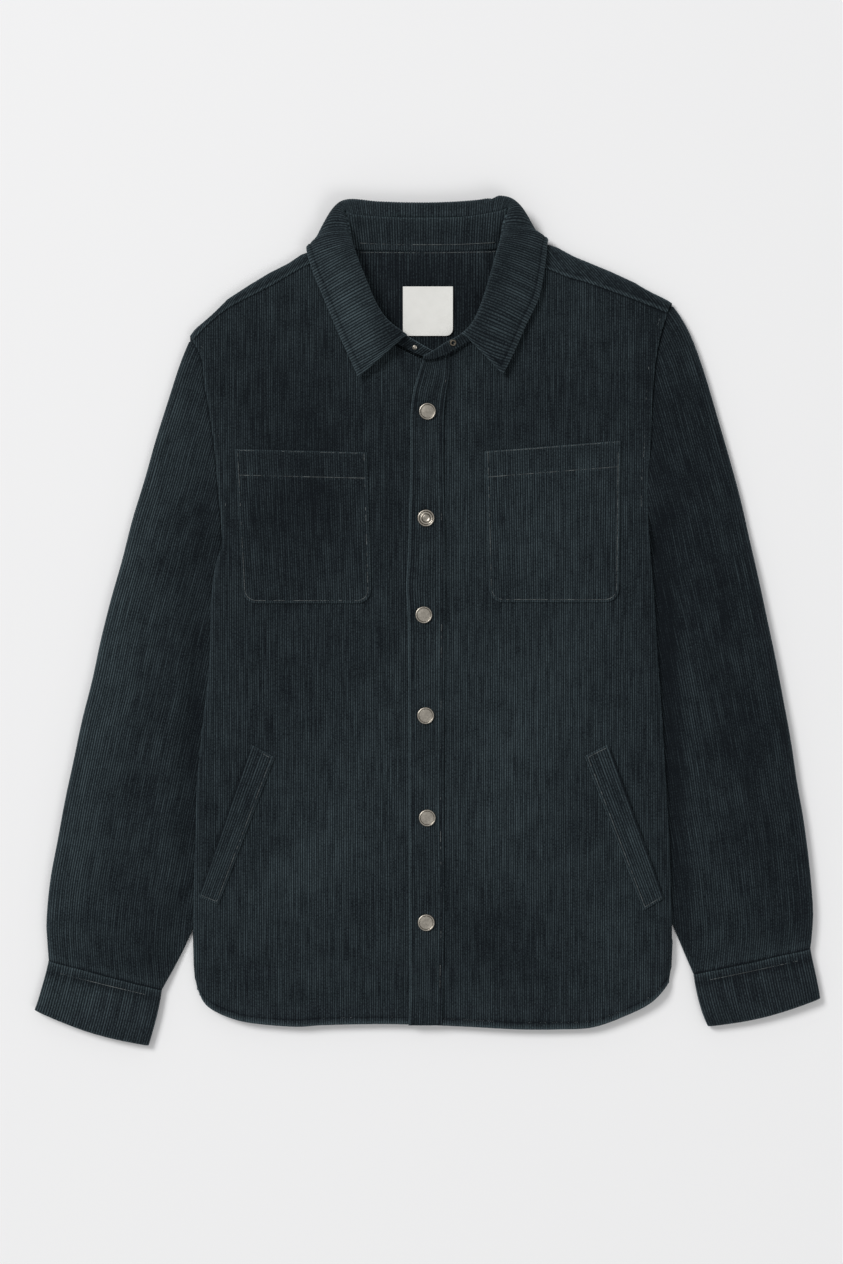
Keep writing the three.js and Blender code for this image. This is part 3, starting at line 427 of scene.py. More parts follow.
RIGHT_ARMHOLE, LEFT_ARMHOLE = eased(RIGHT_ARMHOLE), eased(LEFT_ARMHOLE)
RIGHT_SIDE, LEFT_SIDE, HEM = eased(RIGHT_SIDE), eased(LEFT_SIDE), eased(HEM)
RIGHT_YOKE_SEAM, LEFT_YOKE_SEAM = eased(RIGHT_YOKE_SEAM), eased(LEFT_YOKE_SEAM)
RIGHT_SLEEVE_FOLD, LEFT_SLEEVE_FOLD = eased(RIGHT_SLEEVE_FOLD), eased(LEFT_SLEEVE_FOLD)
RIGHT_SLEEVE_EDGE, LEFT_SLEEVE_EDGE = eased(RIGHT_SLEEVE_EDGE), eased(LEFT_SLEEVE_EDGE)
PLACKET = eased(PLACKET)
RIGHT_EDGE = join_tables(RIGHT_ARMHOLE, rows_of(RIGHT_SIDE, slice(1, None)))
LEFT_EDGE = join_tables(LEFT_ARMHOLE, rows_of(LEFT_SIDE, slice(1, None)))


def inset_from_side(x, y):
    from_right = x - read(RIGHT_EDGE, "y", y, "x")
    from_left = read(LEFT_EDGE, "y", y, "x") - x
    return np.maximum(0, np.minimum(from_right, from_left))


def underside(x, y):
    beside = smooth((TUCK_REACH + TUCK_BLEND - inset_from_side(x, y)) / TUCK_BLEND)
    below = smooth((UNDERARM_Y + 44 - y) / 26) * smooth((y - TUCK_END_Y + 34) / 30)
    collar = smooth((y - 278) / 50) * smooth((142 - np.abs(x)) / 33)
    return TUCK_LIFT * beside * below + COLLAR_LIFT * collar


def front_height(x, y):
    inset = inset_from_side(x, y)
    top = (FRONT_HEIGHT + 0.3 * underside(x, y) * smooth((200 - y) / 40)
           + fold_height(FRONT_FOLDS, x, y) * smooth(inset / 16) * smooth((300 - y) / 40))
    foot = np.maximum(underside(x, y - 8), underside(x, y + 8)) + WALL + SEAM_GAP
    rolled = foot + (top - foot) * quarter_round(inset, SIDE_ROLL)
    return lerp(top, rolled, smooth((UNDERARM_Y + 6 - y) / 14))


def on_front(x, y):
    return front_height(x, y) + LAY_GAP + WALL


def inner_yoke_top(x, y):
    return underside(x, y) + 2 * WALL + YOKE_GAP


# Meshes
def only(piece):
    bpy.ops.object.select_all(action="DESELECT")
    piece.select_set(True)
    bpy.context.view_layer.objects.active = piece


@contextmanager
def whole_mesh_edited():
    """Edit mode on the active piece, with its whole mesh selected."""
    bpy.ops.object.mode_set(mode="EDIT")
    bpy.ops.mesh.select_all(action="SELECT")
    yield
    bpy.ops.object.mode_set(mode="OBJECT")


def grid(name, points, count, along, wear_and_light=0.0):
    """A grid placed point by point, in millimetres, with a map that follows the
    cloth: wales across from one side, and millimetres along them. A second map
    carries the pile's wear and lay, together with painted light and shade."""
    rows, columns = points.shape[:2]
    bpy.ops.object.select_all(action="DESELECT")
    bpy.ops.mesh.primitive_grid_add(x_subdivisions=columns - 1, y_subdivisions=rows - 1)
    piece = bpy.context.object
    mesh = piece.data
    piece.name = mesh.name = name
    mesh.vertices.foreach_set("co", (points * MM).ravel())
    corners = np.empty(len(mesh.loops), np.int32)
    mesh.loops.foreach_get("vertex_index", corners)
    # The pile's lay with painted light and shade, from one table; it goes into the map named pile
    # beside the wear and the painted edge light and shade
    lay_and_light = fold_height(PILE_LAY_AND_LIGHT, points[..., 0], points[..., 1])
    mesh.uv_layers[0].name = "wales"
    mesh.uv_layers.new(name="pile")
    for key, values in (("wales", (count, along)), ("pile", (wear_and_light, lay_and_light))):
        spread = np.stack(np.broadcast_arrays(*values), -1).reshape(-1, 2)[corners]
        mesh.uv_layers[key].uv.foreach_set("vector", spread.ravel())
    mesh.update()
    return piece


def joined(pieces, name):
    """Grids that share edges, made one surface."""
    piece = pieces[0]
    only(piece)
    for other in pieces[1:]:
        other.select_set(True)
    if len(pieces) > 1:
        bpy.ops.object.join()
    piece.name = piece.data.name = name
    return piece


def sewn(piece, wall=None, turn=False):
    """Merges a surface's doubled points and gives it its wall, inwards."""
    only(piece)
    with whole_mesh_edited():
        bpy.ops.mesh.remove_doubles(threshold=0.03 * MM)
        bpy.ops.mesh.dissolve_degenerate(threshold=0.01 * MM)
        if turn:
            bpy.ops.mesh.flip_normals()
    if wall:
        thickness = piece.modifiers.new("wall", "SOLIDIFY")
        thickness.thickness = wall * MM
        thickness.offset = -1
        bpy.ops.object.modifier_apply(modifier="wall")
    bpy.ops.object.shade_smooth_by_angle(angle=math.radians(75))
    return piece


def pile(count):
    """The pile's height across the wales, from 0 in a valley to 1 on a ridge."""
    return np.abs(np.cos(math.pi * count)) ** 0.55


def relief(count):
    """The wales' ridges and valleys, above and below the cloth's own height."""
    return RIB * (pile(count) - 0.5)


def wale_stations(low, high, wale):
    """Places across the cloth, four to a wale, with the two ends."""
    step = wale / COLUMNS_PER_WALE
    inside = np.arange(math.ceil(low / step + 0.2), math.floor(high / step - 0.2) + 1) * step
    return np.concatenate([[low], inside, [high]])


def rows_between(low, high, levels, *near_ends):
    """Rows of places along the cloth, some near its ends and the rest at given levels,
    all kept between its two ends at every place across."""
    rows = np.concatenate([*near_ends, np.repeat(levels[:, None], len(low), 1)])
    return np.sort(np.clip(rows, low, high), axis=0)


def spread_wales(line):
    """Collar wales spread along a line of points: shares of the line, millimetres along
    it, and its whole length."""
    lengths = lengths_along(line)
    stations = wale_stations(0, lengths[-1], COLLAR_WALE)
    return np.interp(stations, lengths, np.linspace(0, 1, len(line))), stations, lengths[-1]


# The two fronts and the back
def split_side(armhole, side):
    """An armhole and side as the stretch above the underarm, the one below it down
    to the widest place, and the one that returns to the hem."""
    whole = join_tables(armhole, rows_of(side, slice(1, None)))
    reach = np.abs(whole["x"])
    inner = int(np.argmin(reach))
    outer = inner + int(np.argmax(reach[inner:]))
    return (rows_of(whole, slice(0, inner + 1)), rows_of(whole, slice(inner, outer + 1)),
            rows_of(whole, slice(outer, None)))


HEM_ROWS = np.array([0, 1.2, 3, 5.5, 6.5, 7.5, 10, 15, 24, 35.0])
YOKE_ROWS = np.array([0, 1.2, 2.6, 4.5, 7.5, 12.0])
ARMHOLE_STITCH = 6.0
HEM_STITCH = 6.5


def past_collar(x):
    """From 0 at the neck to 1 along the shoulder, where the yoke's seam shows."""
    return smooth((np.abs(x) - 88) / 6)


def body_panels(name, upper, lower, centre, seam_x, top, levels, height, turn=1):
    """Half a panel as three grids: from the centre to the narrowest place, from there
    out to the shoulder, and below the underarm out to the side."""
    inner_x, outer_x = lower["x"][0], lower["x"][-1]
    spans = {"main": (centre, inner_x), "upper": (inner_x, seam_x), "lower": (inner_x, outer_x)}
    hem_rows, yoke_rows = (HEM_ROWS, YOKE_ROWS) if turn > 0 else (HEM_ROWS[::3], YOKE_ROWS[:1])
    panels = []
    for part, span in spans.items():
        xs = wale_stations(*sorted(span), WALE)
        low = read(upper, "x", xs, "y") if part == "upper" else low_edge(xs)
        high = read(lower, "x", xs, "y") if part == "lower" else top(xs)
        y = rows_between(low, high, levels, low_edge(xs) + hem_rows[:, None],
                         top(xs) - yoke_rows[:, None])
        x = np.broadcast_to(xs, y.shape)
        hem, inset = y - low_edge(x), inset_from_side(x, y)
        even = smooth(0.3 + inset / 2.2) * smooth(0.25 + hem / 2)
        z = height(x, y) + turn * RIB * (pile(x / WALE) - (0.5 if turn > 0 else 1)) * even
        # Lighter along the hem's turned edge and up the sides, partly worn pile and partly painted
        # highlight; painted shade in the hem's stitch line and under the yoke's edge
        wear_and_light = (1.6 * bell(hem - 1, 1.6) + 0.2 * smooth((6 - hem) / 1.5)
                - 0.8 * bell(hem - HEM_STITCH - 0.1, 0.8)
                + 0.7 * bell(inset - 1, 1.2) * smooth((y + 330) / 20)
                - 0.9 * bell(top(xs) - y, 1.1) * past_collar(x))
        panels.append(grid(f"{name}_{part}", points_at(x, y, z), x / WALE, y, wear_and_light))
    return panels


def low_edge(x):
    """The hem, and past its ends the sides' lowest stretches."""
    right = split_side(RIGHT_ARMHOLE, RIGHT_SIDE)[2]
    left = split_side(LEFT_ARMHOLE, LEFT_SIDE)[2]
    hem = read(HEM, "x", x, "y")
    hem = np.where(x < HEM["x"][0], read(right, "x", x, "y"), hem)
    return np.where(x > HEM["x"][-1], read(left, "x", x, "y"), hem)


def hem_and_seams(x, y):
    """What sewing does to a front's edge: the turned hem, and the pull of seams."""
    hem, inset = y - low_edge(x), inset_from_side(x, y)
    turned = 0.5 * smooth((7.2 - hem) / 1.4) - 0.9 * edge_drop(hem, 1.8)
    stitched = -0.8 * bell(hem - HEM_STITCH, 1.0)
    above = smooth((y - UNDERARM_Y) / 12)
    armhole = above * (-0.8 * bell(inset, 1.6) - 0.35 * bell(inset - ARMHOLE_STITCH, 1.0))
    return turned + stitched + armhole


def front(side, armhole, edge, neck, yoke, centre):
    upper, lower = split_side(armhole, edge)[:2]
    top_rows = join_tables(neck, rows_of(yoke, slice(1, None)))
    levels = np.concatenate([np.arange(-328, 236, 11.5), lower["y"][:1], np.arange(240, 340, 10.0)])

    def top(x):
        return read(top_rows, "x", x, "y")

    def height(x, y):
        yoke_edge = bell(top(x) - y, 1.5) * past_collar(x)
        return front_height(x, y) + hem_and_seams(x, y) - 0.5 * yoke_edge

    panels = body_panels(side, upper, lower, centre, upper["x"][0], top, levels, height)
    return sewn(joined(panels, f"front_{side}_cloth"), WALL)


def back_seam(x):
    return np.full(np.shape(x), BACK_SEAM_Y)


def back():
    panels = []
    for armhole, edge in ((RIGHT_ARMHOLE, RIGHT_SIDE), (LEFT_ARMHOLE, LEFT_SIDE)):
        upper, lower = split_side(armhole, edge)[:2]
        levels = np.concatenate([np.arange(-324, 226, 24.0), lower["y"][:1]])
        seam_x = float(read(upper, "y", BACK_SEAM_Y, "x"))
        panels += body_panels("back", upper, lower, 0.0, seam_x, back_seam, levels,
                              underside, -1)
    return sewn(joined(panels, "back_panel_cloth"), WALL, turn=True)


# Sleeves: places across run from the outer fold, and places along from the shoulder
class Sleeve:
    def __init__(self, side, fold, edge, armhole):
        self.side = side
        self.origin = np.array([fold["x"][0], fold["y"][0]])
        last = np.array([fold["x"][-1], fold["y"][-1]])
        self.down = (last - self.origin) / np.linalg.norm(last - self.origin)
        across = np.array([-self.down[1], self.down[0]])
        self.across = across if across[0] * self.origin[0] < 0 else -across
        self.fold = self.measured(fold)
        self.edge = self.measured(edge)
        self.edge["across"] -= self.fold_at(self.edge["along"])
        outward = np.sign(self.origin[0]) * SEAM_GAP
        self.armhole = self.measured({
            "x": np.concatenate([fold["x"][:1], armhole["x"] + outward]),
            "y": np.concatenate([fold["y"][:1], armhole["y"]])})
        self.armhole["across"] = np.maximum(
            0, self.armhole["across"] - self.fold_at(self.armhole["along"]))
        self.widest = int(np.argmax(self.edge["across"]))
        self.underarm = self.edge["across"][0]

    def measured(self, part):
        offset = np.stack([part["x"], part["y"]], -1) - self.origin
        return {**part, "along": offset @ self.down, "across": offset @ self.across}

    def fold_at(self, along):
        return np.interp(along, self.fold["along"], self.fold["across"])

    def plan(self, across, along):
        offset = across + self.fold_at(along)
        return (self.origin[0] + along * self.down[0] + offset * self.across[0],
                self.origin[1] + along * self.down[1] + offset * self.across[1])

    def start(self, across):
        """Where a wale begins: at the armhole, or at the inner edge below it."""
        edge = rows_of(self.edge, slice(0, self.widest + 1))
        whole = {key: np.concatenate([self.armhole[key][:-1], edge[key]])
                 for key in ("across", "along")}
        return read(whole, "across", across, "along")

    def end(self, across):
        """Where a wale ends: at the cuff, or where the inner edge comes back."""
        returning = rows_of(self.edge, slice(self.widest, None))
        cuff = np.interp(across, [0, returning["across"][-1]],
                         [self.fold["along"][-1], returning["along"][-1]])
        beyond = read(returning, "across", across, "along")
        return np.where(across > returning["across"][-1], beyond, cuff)

    def at_edge(self, along, key):
        order = np.argsort(self.edge["along"])
        return np.interp(along, self.edge["along"][order], self.edge[key][order])

    def from_inner(self, across, along):
        first = self.edge["along"][0]
        gap = self.at_edge(np.maximum(along, first), "across") - across
        return np.hypot(np.maximum(0, first - along), np.maximum(0, gap))

    def heights(self, across, along, x, y):
        """Middle, top and roundness of the flat tube."""
        inner = self.from_inner(across, along)
        edge, middle, under = (self.at_edge(along, key) for key in ("edge", "middle", "under"))
        rise = smooth((inner - under - 3) / 26)
        top = lerp(edge, middle, rise)
        roundness = quarter_round(across, SLEEVE_ROLL) * quarter_round(inner, edge / 2 + 0.6)
        bump = fold_height(SLEEVE_FOLDS, x, y) * rise * np.minimum(1, across / SLEEVE_ROLL)
        bump = bump * smooth((along - 6) / 30)
        return top / 2, top + bump, roundness


SLEEVE_ROWS = np.array([0, 2, 5, 9.0])
WRIST_STEP = 0.24  # from a sleeve's end to where it tucks into its cuff
# The left sleeve's head turns over along this line, and lies lower inside it
HEAD_FOLD = table("x y", [[233.5, 285], [230, 256], [227, 215.5], [219, 171], [209, 138]])


def head_fold(x, y):
    """How far the cloth drops inside the fold, with a crest along the fold itself."""
    outside = x - read(HEAD_FOLD, "y", y, "x")
    reach = smooth((y - 142) / 25) * smooth((290 - y) / 12)
    return reach * (1.9 * smooth((0.8 - outside) / 3.0) - 0.7 * bell(outside - 2, 2.2))


def sleeve_cloth(sleeve):
    half = 6.2  # about half the tube's height
    # Length of the quarter oval by which the cloth turns over at the outer fold
    quarter = math.pi / 4 * (3 * (SLEEVE_ROLL + half)
                             - math.sqrt((3 * SLEEVE_ROLL + half) * (SLEEVE_ROLL + 3 * half)))
    widest, wrist = sleeve.edge["across"][[sleeve.widest, -1]]
    arc = wale_stations(0, widest - SLEEVE_ROLL + quarter, SLEEVE_WALE)
    turn = np.minimum(arc / quarter, 1) * math.pi / 2
    across = np.where(arc < quarter, SLEEVE_ROLL * (1 - np.cos(turn)), SLEEVE_ROLL + arc - quarter)
    across[-1] = widest
    start, end = sleeve.start(across), sleeve.end(across)
    # The seam allowance at the armhole lies under the front and over the back, and the
    # one at the wrist lies inside the cuff
    allowance = 3.2 * smooth((sleeve.underarm - 3 - across) / 10) * smooth((across - 0.5) / 3.5)
    in_cuff = across < wrist + 0.01
    along = np.concatenate([
        [start - allowance, start - allowance / 6],
        rows_between(start, end, np.arange(8, 606, 10.0),
                     start + SLEEVE_ROWS[:, None], end - SLEEVE_ROWS[:, None]),
        [end + reach * in_cuff for reach in (WRIST_STEP, 0.6, 4)]])
    across = np.broadcast_to(across, along.shape)
    count = arc / SLEEVE_WALE
    x, y = sleeve.plan(across, along)
    middle, top, roundness = sleeve.heights(across, np.clip(along, start, end), x, y)
    gathered = smooth((along - end - WRIST_STEP) / 0.3)
    held_in = np.clip(across, 2.9 * gathered, wrist + 40 - 42.9 * gathered) - across
    x, y = x + held_in * sleeve.across[0], y + held_in * sleeve.across[1]
    roundness = roundness * (1 - 0.62 * gathered)
    if sleeve.side == "left":
        top = top - 1.2 * head_fold(x, y)
    tucked = np.maximum(0, start - along)
    near = np.abs(along - start) + 40 * smooth((across - sleeve.underarm) / 12)
    rib = relief(count) * roundness * smooth(0.3 + near / 2.2)
    seam = -0.8 * bell(near, 1.8) - np.minimum(2.6, 5 * tucked)
    to_cuff = end - along
    puckers = (0.7 * np.exp(-to_cuff / 14) * np.sin(across / 2.9 + 2.4 * np.sin(across / 17))
               * smooth((across - 6) / 10) * smooth((wrist - across) / 14) * (along < end))
    over = (middle + (top - middle) * roundness + rib * np.sin(turn) + seam * roundness
            + puckers - 0.8 * np.exp(-np.abs(to_cuff) / 1.2) * roundness)
    under = (middle * (1 - roundness) + RIB * (1 - pile(count)) * roundness
             + np.minimum(2.3, 4.5 * tucked) * roundness)
    sideways = rib * np.cos(turn)
    out_x, out_y = x - sideways * sleeve.across[0], y - sideways * sleeve.across[1]
    # A lighter band just above the cuff, and painted shade where the sleeve goes into its cuff and
    # along its armhole seam
    wear_and_light = 0.6 * bell(to_cuff - 3.5, 1.8) - 1.2 * bell(to_cuff, 1.6) - 0.7 * bell(near, 1.6)
    upper = grid("over", points_at(out_x, out_y, over), count, along, wear_and_light)
    lower = grid("under", points_at(out_x, out_y, under), -count, along)
    # Of the two layers one faces in, a different one on each sleeve
    facing_up = np.cross([*sleeve.across, 0], [*sleeve.down, 0])[2] > 0
    only(lower if facing_up else upper)
    with whole_mesh_edited():
        bpy.ops.mesh.flip_normals()
    return sewn(joined([upper, lower], f"sleeve_{sleeve.side}_cloth"), WALL)


def flat_loop(span, height, inner_height, wale):
    """Round a flat tube: places across and heights, four to a wale."""
    turns = np.linspace(0, math.pi / 2, 24)
    outer = [(SLEEVE_ROLL * (1 - math.cos(t)), math.sin(t)) for t in turns]
    reach = inner_height / 2 + 0.6
    inner = [(span - reach * (1 - math.cos(t)), math.sin(t)) for t in turns[::-1]]
    across, rise = np.array(outer + inner).T
    half = lerp(height, inner_height, smooth((across - span * 0.5) / (span * 0.5))) / 2
    top = np.stack([across, half + half * rise], -1)
    bottom = np.stack([across, half - half * rise], -1)[::-1]
    loop = np.concatenate([top, bottom[1:]])
    lengths = lengths_along(loop)
    wales = round(lengths[-1] / wale)
    stations = np.linspace(0, lengths[-1], wales * COLUMNS_PER_WALE + 1)
    placed = [np.interp(stations, lengths, loop[:, axis]) for axis in (0, 1)]
    return placed[0] / span, placed[1], np.arange(len(stations)) / COLUMNS_PER_WALE


CUFF_SPAN = 110.0
CUFF_DEPTH = 50.0
CUFF_STITCH = 9.0
CUFF_INNER_HEIGHT = 9.0
CUFF_ROWS = np.array([0, 0.012, 0.03, 0.06, 0.1, 0.13, 0.2, 0.32, 0.46, 0.6, 0.74, 0.86, 0.93,
                      0.97, 1])
# Dents and a crest that run in from the outer end and the seam: depth, start, lean, breadth
CUFF_DENTS = [(1.5, 0.1, 0.12, 0.045), (-0.9, 0.04, 0.12, 0.04), (1.1, 0.62, -0.2, 0.06),
              (0.8, 0.36, 0.3, 0.05)]


def cuff_plan(rows, down, place):
    """Places on a cuff, by how far down from its seam and how far across they are."""
    at = {key: values[:, None] for key, values in read_smooth(rows, down).items()}
    y = lerp(at["outerY"], at["innerY"], place) - at["bow"] * np.sin(math.pi * place)
    return lerp(at["outerX"], at["innerX"], place), y


def cuff_cloth(side, rows):
    place, height, count = flat_loop(CUFF_SPAN, CUFF_HEIGHT, CUFF_INNER_HEIGHT, COLLAR_WALE)
    x, y = cuff_plan(rows, CUFF_ROWS, place)
    down = CUFF_ROWS[:, None]
    along = down * CUFF_DEPTH
    slack = sum(depth * bell(place - begin - lean * down, breadth)
                for depth, begin, lean, breadth in CUFF_DENTS)
    groove = (0.7 * bell(along - CUFF_STITCH, 1.3)
              + slack * np.sin(math.pi * np.minimum(1, down * 1.3)) ** 2)
    centre = CUFF_HEIGHT / 2
    lifted = height + np.where(height > centre, relief(count) - groove, RIB * (1 - pile(count)))
    tuck = 1 - 0.12 * edge_drop(np.minimum(down, 1 - down) * CUFF_DEPTH, 2.5)
    z = centre + (lifted - centre) * tuck
    # Lighter along both edges of the cuff, partly worn pile and partly painted highlight, and
    # painted shade along its stitch line
    wear_and_light = (bell(CUFF_DEPTH - along, 1.8) + 1.1 * bell(along - 1.5, 1.8)
            - 0.5 * bell(along - CUFF_STITCH - 1, 1.2))
    cuff = grid(f"cuff_{side}_cloth", points_at(x, y, z), count, along, wear_and_light)
    return sewn(cuff, DOUBLE_WALL, turn=side == "right")


# Yokes
def shoulder_roll(x):
    fold = read(SHOULDER_FOLD, "x", x, "y")
    seam = np.where(x < 0, read(RIGHT_YOKE_SEAM, "x", x, "y"), read(LEFT_YOKE_SEAM, "x", x, "y"))
    radius = np.minimum(SHOULDER_ROLL, fold - seam - SEAM_GAP - 0.3)
    return fold, seam, np.maximum(radius, 1.5)


def yoke_low(armhole, x):
    """The yoke's lower outline at one side: the back seam, then the armhole."""
    upper = rows_of(armhole, armhole["y"] > BACK_SEAM_Y)
    return np.maximum(BACK_SEAM_Y + SEAM_GAP, read(upper, "x", x, "y"))


def yoke_flat(name, inset, height, wale, facing):
    """The yoke's flat part behind the neck, or the inner one, which lies inset from it."""
    right, left = (float(read(armhole, "y", BACK_SEAM_Y, "x"))
                   for armhole in (RIGHT_ARMHOLE, LEFT_ARMHOLE))
    xs = wale_stations(-219 + inset, 224 - inset, wale)
    low = np.full(len(xs), BACK_SEAM_Y + SEAM_GAP)
    low = np.where(xs < right + inset, yoke_low(RIGHT_ARMHOLE, xs - inset), low)
    low = np.where(xs > left - inset, yoke_low(LEFT_ARMHOLE, xs + inset), low)
    fold, _, radius = shoulder_roll(xs)
    at_neck = read(YOKE_NECK, "x", xs, "y") + (2.2 if inset else 0)
    top = np.where(np.abs(xs) < 84, at_neck, fold - radius - inset)
    y = rows_between(low, np.maximum(low, top), np.linspace(BACK_SEAM_Y, 350, 9), [top, low])
    x = np.broadcast_to(xs, y.shape)
    z = height(x, y) + facing * RIB * (pile(x / wale) - (1 if facing < 0 else 0.5))
    return grid(name, points_at(x, y, z), x / wale, y)


STRIP_SLANT = {"right": -0.9, "left": 1.19}  # how far a wale leans for each mm up


def strip_flat(x):
    """Breadth of a shoulder strip up to the roll of its fold, and the roll's radius."""
    fold, seam, radius = shoulder_roll(x)
    return fold - radius - seam - SEAM_GAP, radius


STRIP_STITCH = 5.0
STRIP_ROWS = np.concatenate([[0, 0.02, 0.05], np.linspace(0.1, 1, 25)])


def yoke_strip(side, from_x, to_x, tip):
    """The yoke's front part on one shoulder, laid out flat from its seam up round
    the fold, with the wales askew. At its outer end it follows the sleeve's seam."""
    slant = STRIP_SLANT[side]
    wale = COLLAR_WALE * math.hypot(1, slant)
    depth = 44.0  # more than the strip's whole breadth
    bases = wale_stations(from_x + min(0, slant * depth), to_x + max(0, slant * depth), wale)
    low, limit = np.sort([(bases - from_x) / slant, (bases - to_x) / slant], axis=0)
    low, high = np.maximum(low, 0), np.minimum(limit, depth)
    for _ in range(16):  # each pass brings a wale's end nearer to the strip's far edge
        flat, radius = strip_flat(np.clip(bases - slant * high, from_x, to_x))
        high = np.minimum(limit, flat + math.pi * radius + 4)
    kept = high > low + 0.05
    bases, low, high = bases[kept], low[kept], high[kept]
    w = lerp(low, high, STRIP_ROWS[:, None])
    x = np.clip(bases - slant * w, from_x, to_x)
    fold, seam, _ = shoulder_roll(x)
    flat, radius = strip_flat(x)
    middle = (underside(x, fold - radius) + FRONT_HEIGHT) / 2
    turn = np.clip((w - flat) / radius, 0, math.pi)
    past = np.maximum(0, w - flat - math.pi * radius)
    from_sleeve = x - from_x if side == "right" else to_x - x
    rib = relief(bases / wale) * smooth(from_sleeve / 2.5)
    drop = (0.8 * edge_drop(w, 1.8) + 0.25 * bell(w - STRIP_STITCH, 1.0)
            + 1.5 * edge_drop(from_sleeve, 3.5))
    y = seam + SEAM_GAP + np.minimum(w, flat) + (radius + rib) * np.sin(turn) - past
    z = np.maximum(middle + (FRONT_HEIGHT - middle + rib + 0.4 - drop) * np.cos(turn), 0.05)
    x = x + tip * np.clip(w / (flat + 1.6 * radius), 0, 1) * smooth((np.abs(x) - 198) / 24)
    # Lighter along the strip's seam edge (worn pile and painted highlight) and a painted highlight
    # over the roll of its fold; painted shade along its stitch line
    wear_and_light = 1.3 * bell(w - 1.4, 1.1) + 0.3 * np.sin(turn) - 0.5 * bell(w - STRIP_STITCH, 0.9)
    return grid(f"strip_{side}", points_at(x, y, z), bases / wale, w, wear_and_light)


def back_yoke():
    flat = yoke_flat("yoke_flat", 0, underside, WALE, -1)
    sewn(flat, WALL, turn=True)
    strips = [yoke_strip("right", -220.8, -86.7, -3.0), yoke_strip("left", 86.7, 225.8, 4.6)]
    for strip in strips:
        sewn(strip, WALL)
    return joined([flat, *strips], "back_yoke_cloth")


# Collar
def leaf_points(place, t):
    """A place on the leaf's outer face, from the outer edge at t = 0 to the roll."""
    row = read_smooth(COLLAR, place)
    edge, pull, roll = (points_in(row, line) for line in ("edge", "pull", "roll"))
    edge[..., 2] = np.maximum(0, edge[..., 2])
    out_of_edge = lerp(edge, pull, 2 / 3)
    into_roll = lerp(roll, pull, 2 / 3)
    lying = smooth(1 - edge[..., 2] / 8)
    out_of_edge[..., 2] = lerp(out_of_edge[..., 2], edge[..., 2], lying)
    into_roll[..., 2] = lerp(into_roll[..., 2], roll[..., 2] - 1, lying)
    a, b = (1 - t)[..., None], t[..., None]
    return a**3 * edge + 3 * a * a * b * out_of_edge + 3 * a * b * b * into_roll + b**3 * roll


LEAF_STITCH = 6.0
LEAF_EDGE_ROWS = np.array([0, 0.5, 1.2, 2.2, 4, 5, 6, 7, 9.0])[:, None]
LEAF_ROLL_ROWS = np.array([4.5, 3, 1.6, 0.7, 0.2, 0])[:, None]


def collar_leaf():
    spread = np.linspace(0, 1, 1200)
    place, stations, length = spread_wales(leaf_points(spread, np.full(len(spread), 0.45)))
    last = len(COLLAR["edgeX"]) - 1
    skew = np.interp(place * last, LEAF_SKEW["row"], LEAF_SKEW["skew"]) / last
    reach = np.ones(len(place))
    reach = np.where(place + skew < 0, place / np.maximum(1e-9, -skew), reach)
    reach = np.where(place + skew > 1, (1 - place) / np.maximum(1e-9, skew), reach)
    straight = leaf_points(place, 0 * place) - leaf_points(place, 0 * place + 1)
    breadth = np.maximum(45, 1.08 * np.linalg.norm(straight, axis=-1))
    middle = np.linspace(12, 100, 15)[:, None] / 112 + 0 * breadth
    t = np.concatenate([LEAF_EDGE_ROWS / breadth, middle, 1 - LEAF_ROLL_ROWS / breadth])
    t = np.sort(t, axis=0) * reach
    where = np.clip(place + skew * t, 0, 1)
    points = leaf_points(where, t)
    step = 1e-3
    along = leaf_points(np.clip(where + step, 0, 1), t) - leaf_points(np.clip(where - step, 0, 1), t)
    upward = leaf_points(where, t + step) - leaf_points(where, t - step)
    normal = np.cross(upward, along)
    normal /= np.linalg.norm(normal, axis=-1, keepdims=True)
    count = stations / COLLAR_WALE
    from_edge, to_roll = t * breadth, (1 - t) * breadth
    inset = rounded_inset(from_edge, np.minimum(where, 1 - where) * length, 3.0)
    rise = (relief(count) * smooth(0.4 + inset / 2) - 0.55 * bell(inset - LEAF_STITCH, 1.2)
            - 0.9 * edge_drop(inset, 2.0) + 0.35 * smooth((LEAF_STITCH - inset) / 1.5))
    # The fall is creased where it turns over at the wearer's left of the neck
    from_crease = (11.5 * (points[..., 0] - 41) - 21 * (points[..., 1] - 387)) / 24
    near_crease = (smooth((points[..., 0] - 37) / 5) * smooth((72 - points[..., 0]) / 8)
                   * smooth((points[..., 1] - 380) / 4) * (points[..., 2] > 12))
    crease = 0.9 * bell(from_crease - 3.4, 2.4) - 1.5 * bell(from_crease, 1.3)
    points = points + normal * (rise + near_crease * crease)[..., None]
    points[..., 2] = np.maximum(points[..., 2] - 2.4 * edge_drop(to_roll, 2.6), 0.1)
    # Lighter round the leaf's edges (worn pile and painted highlight) and a painted highlight
    # towards its roll; painted shade along its stitch line
    wear_and_light = (0.9 * bell(inset, 1.8) + 0.25 * smooth((LEAF_STITCH - inset) / 1.2)
            + 0.35 * bell(to_roll, 5) - 0.8 * bell(inset - LEAF_STITCH, 0.9))
    leaf = grid("collar_leaf_cloth", points, count, from_edge, wear_and_light)
    return sewn(leaf, DOUBLE_WALL, turn=True)


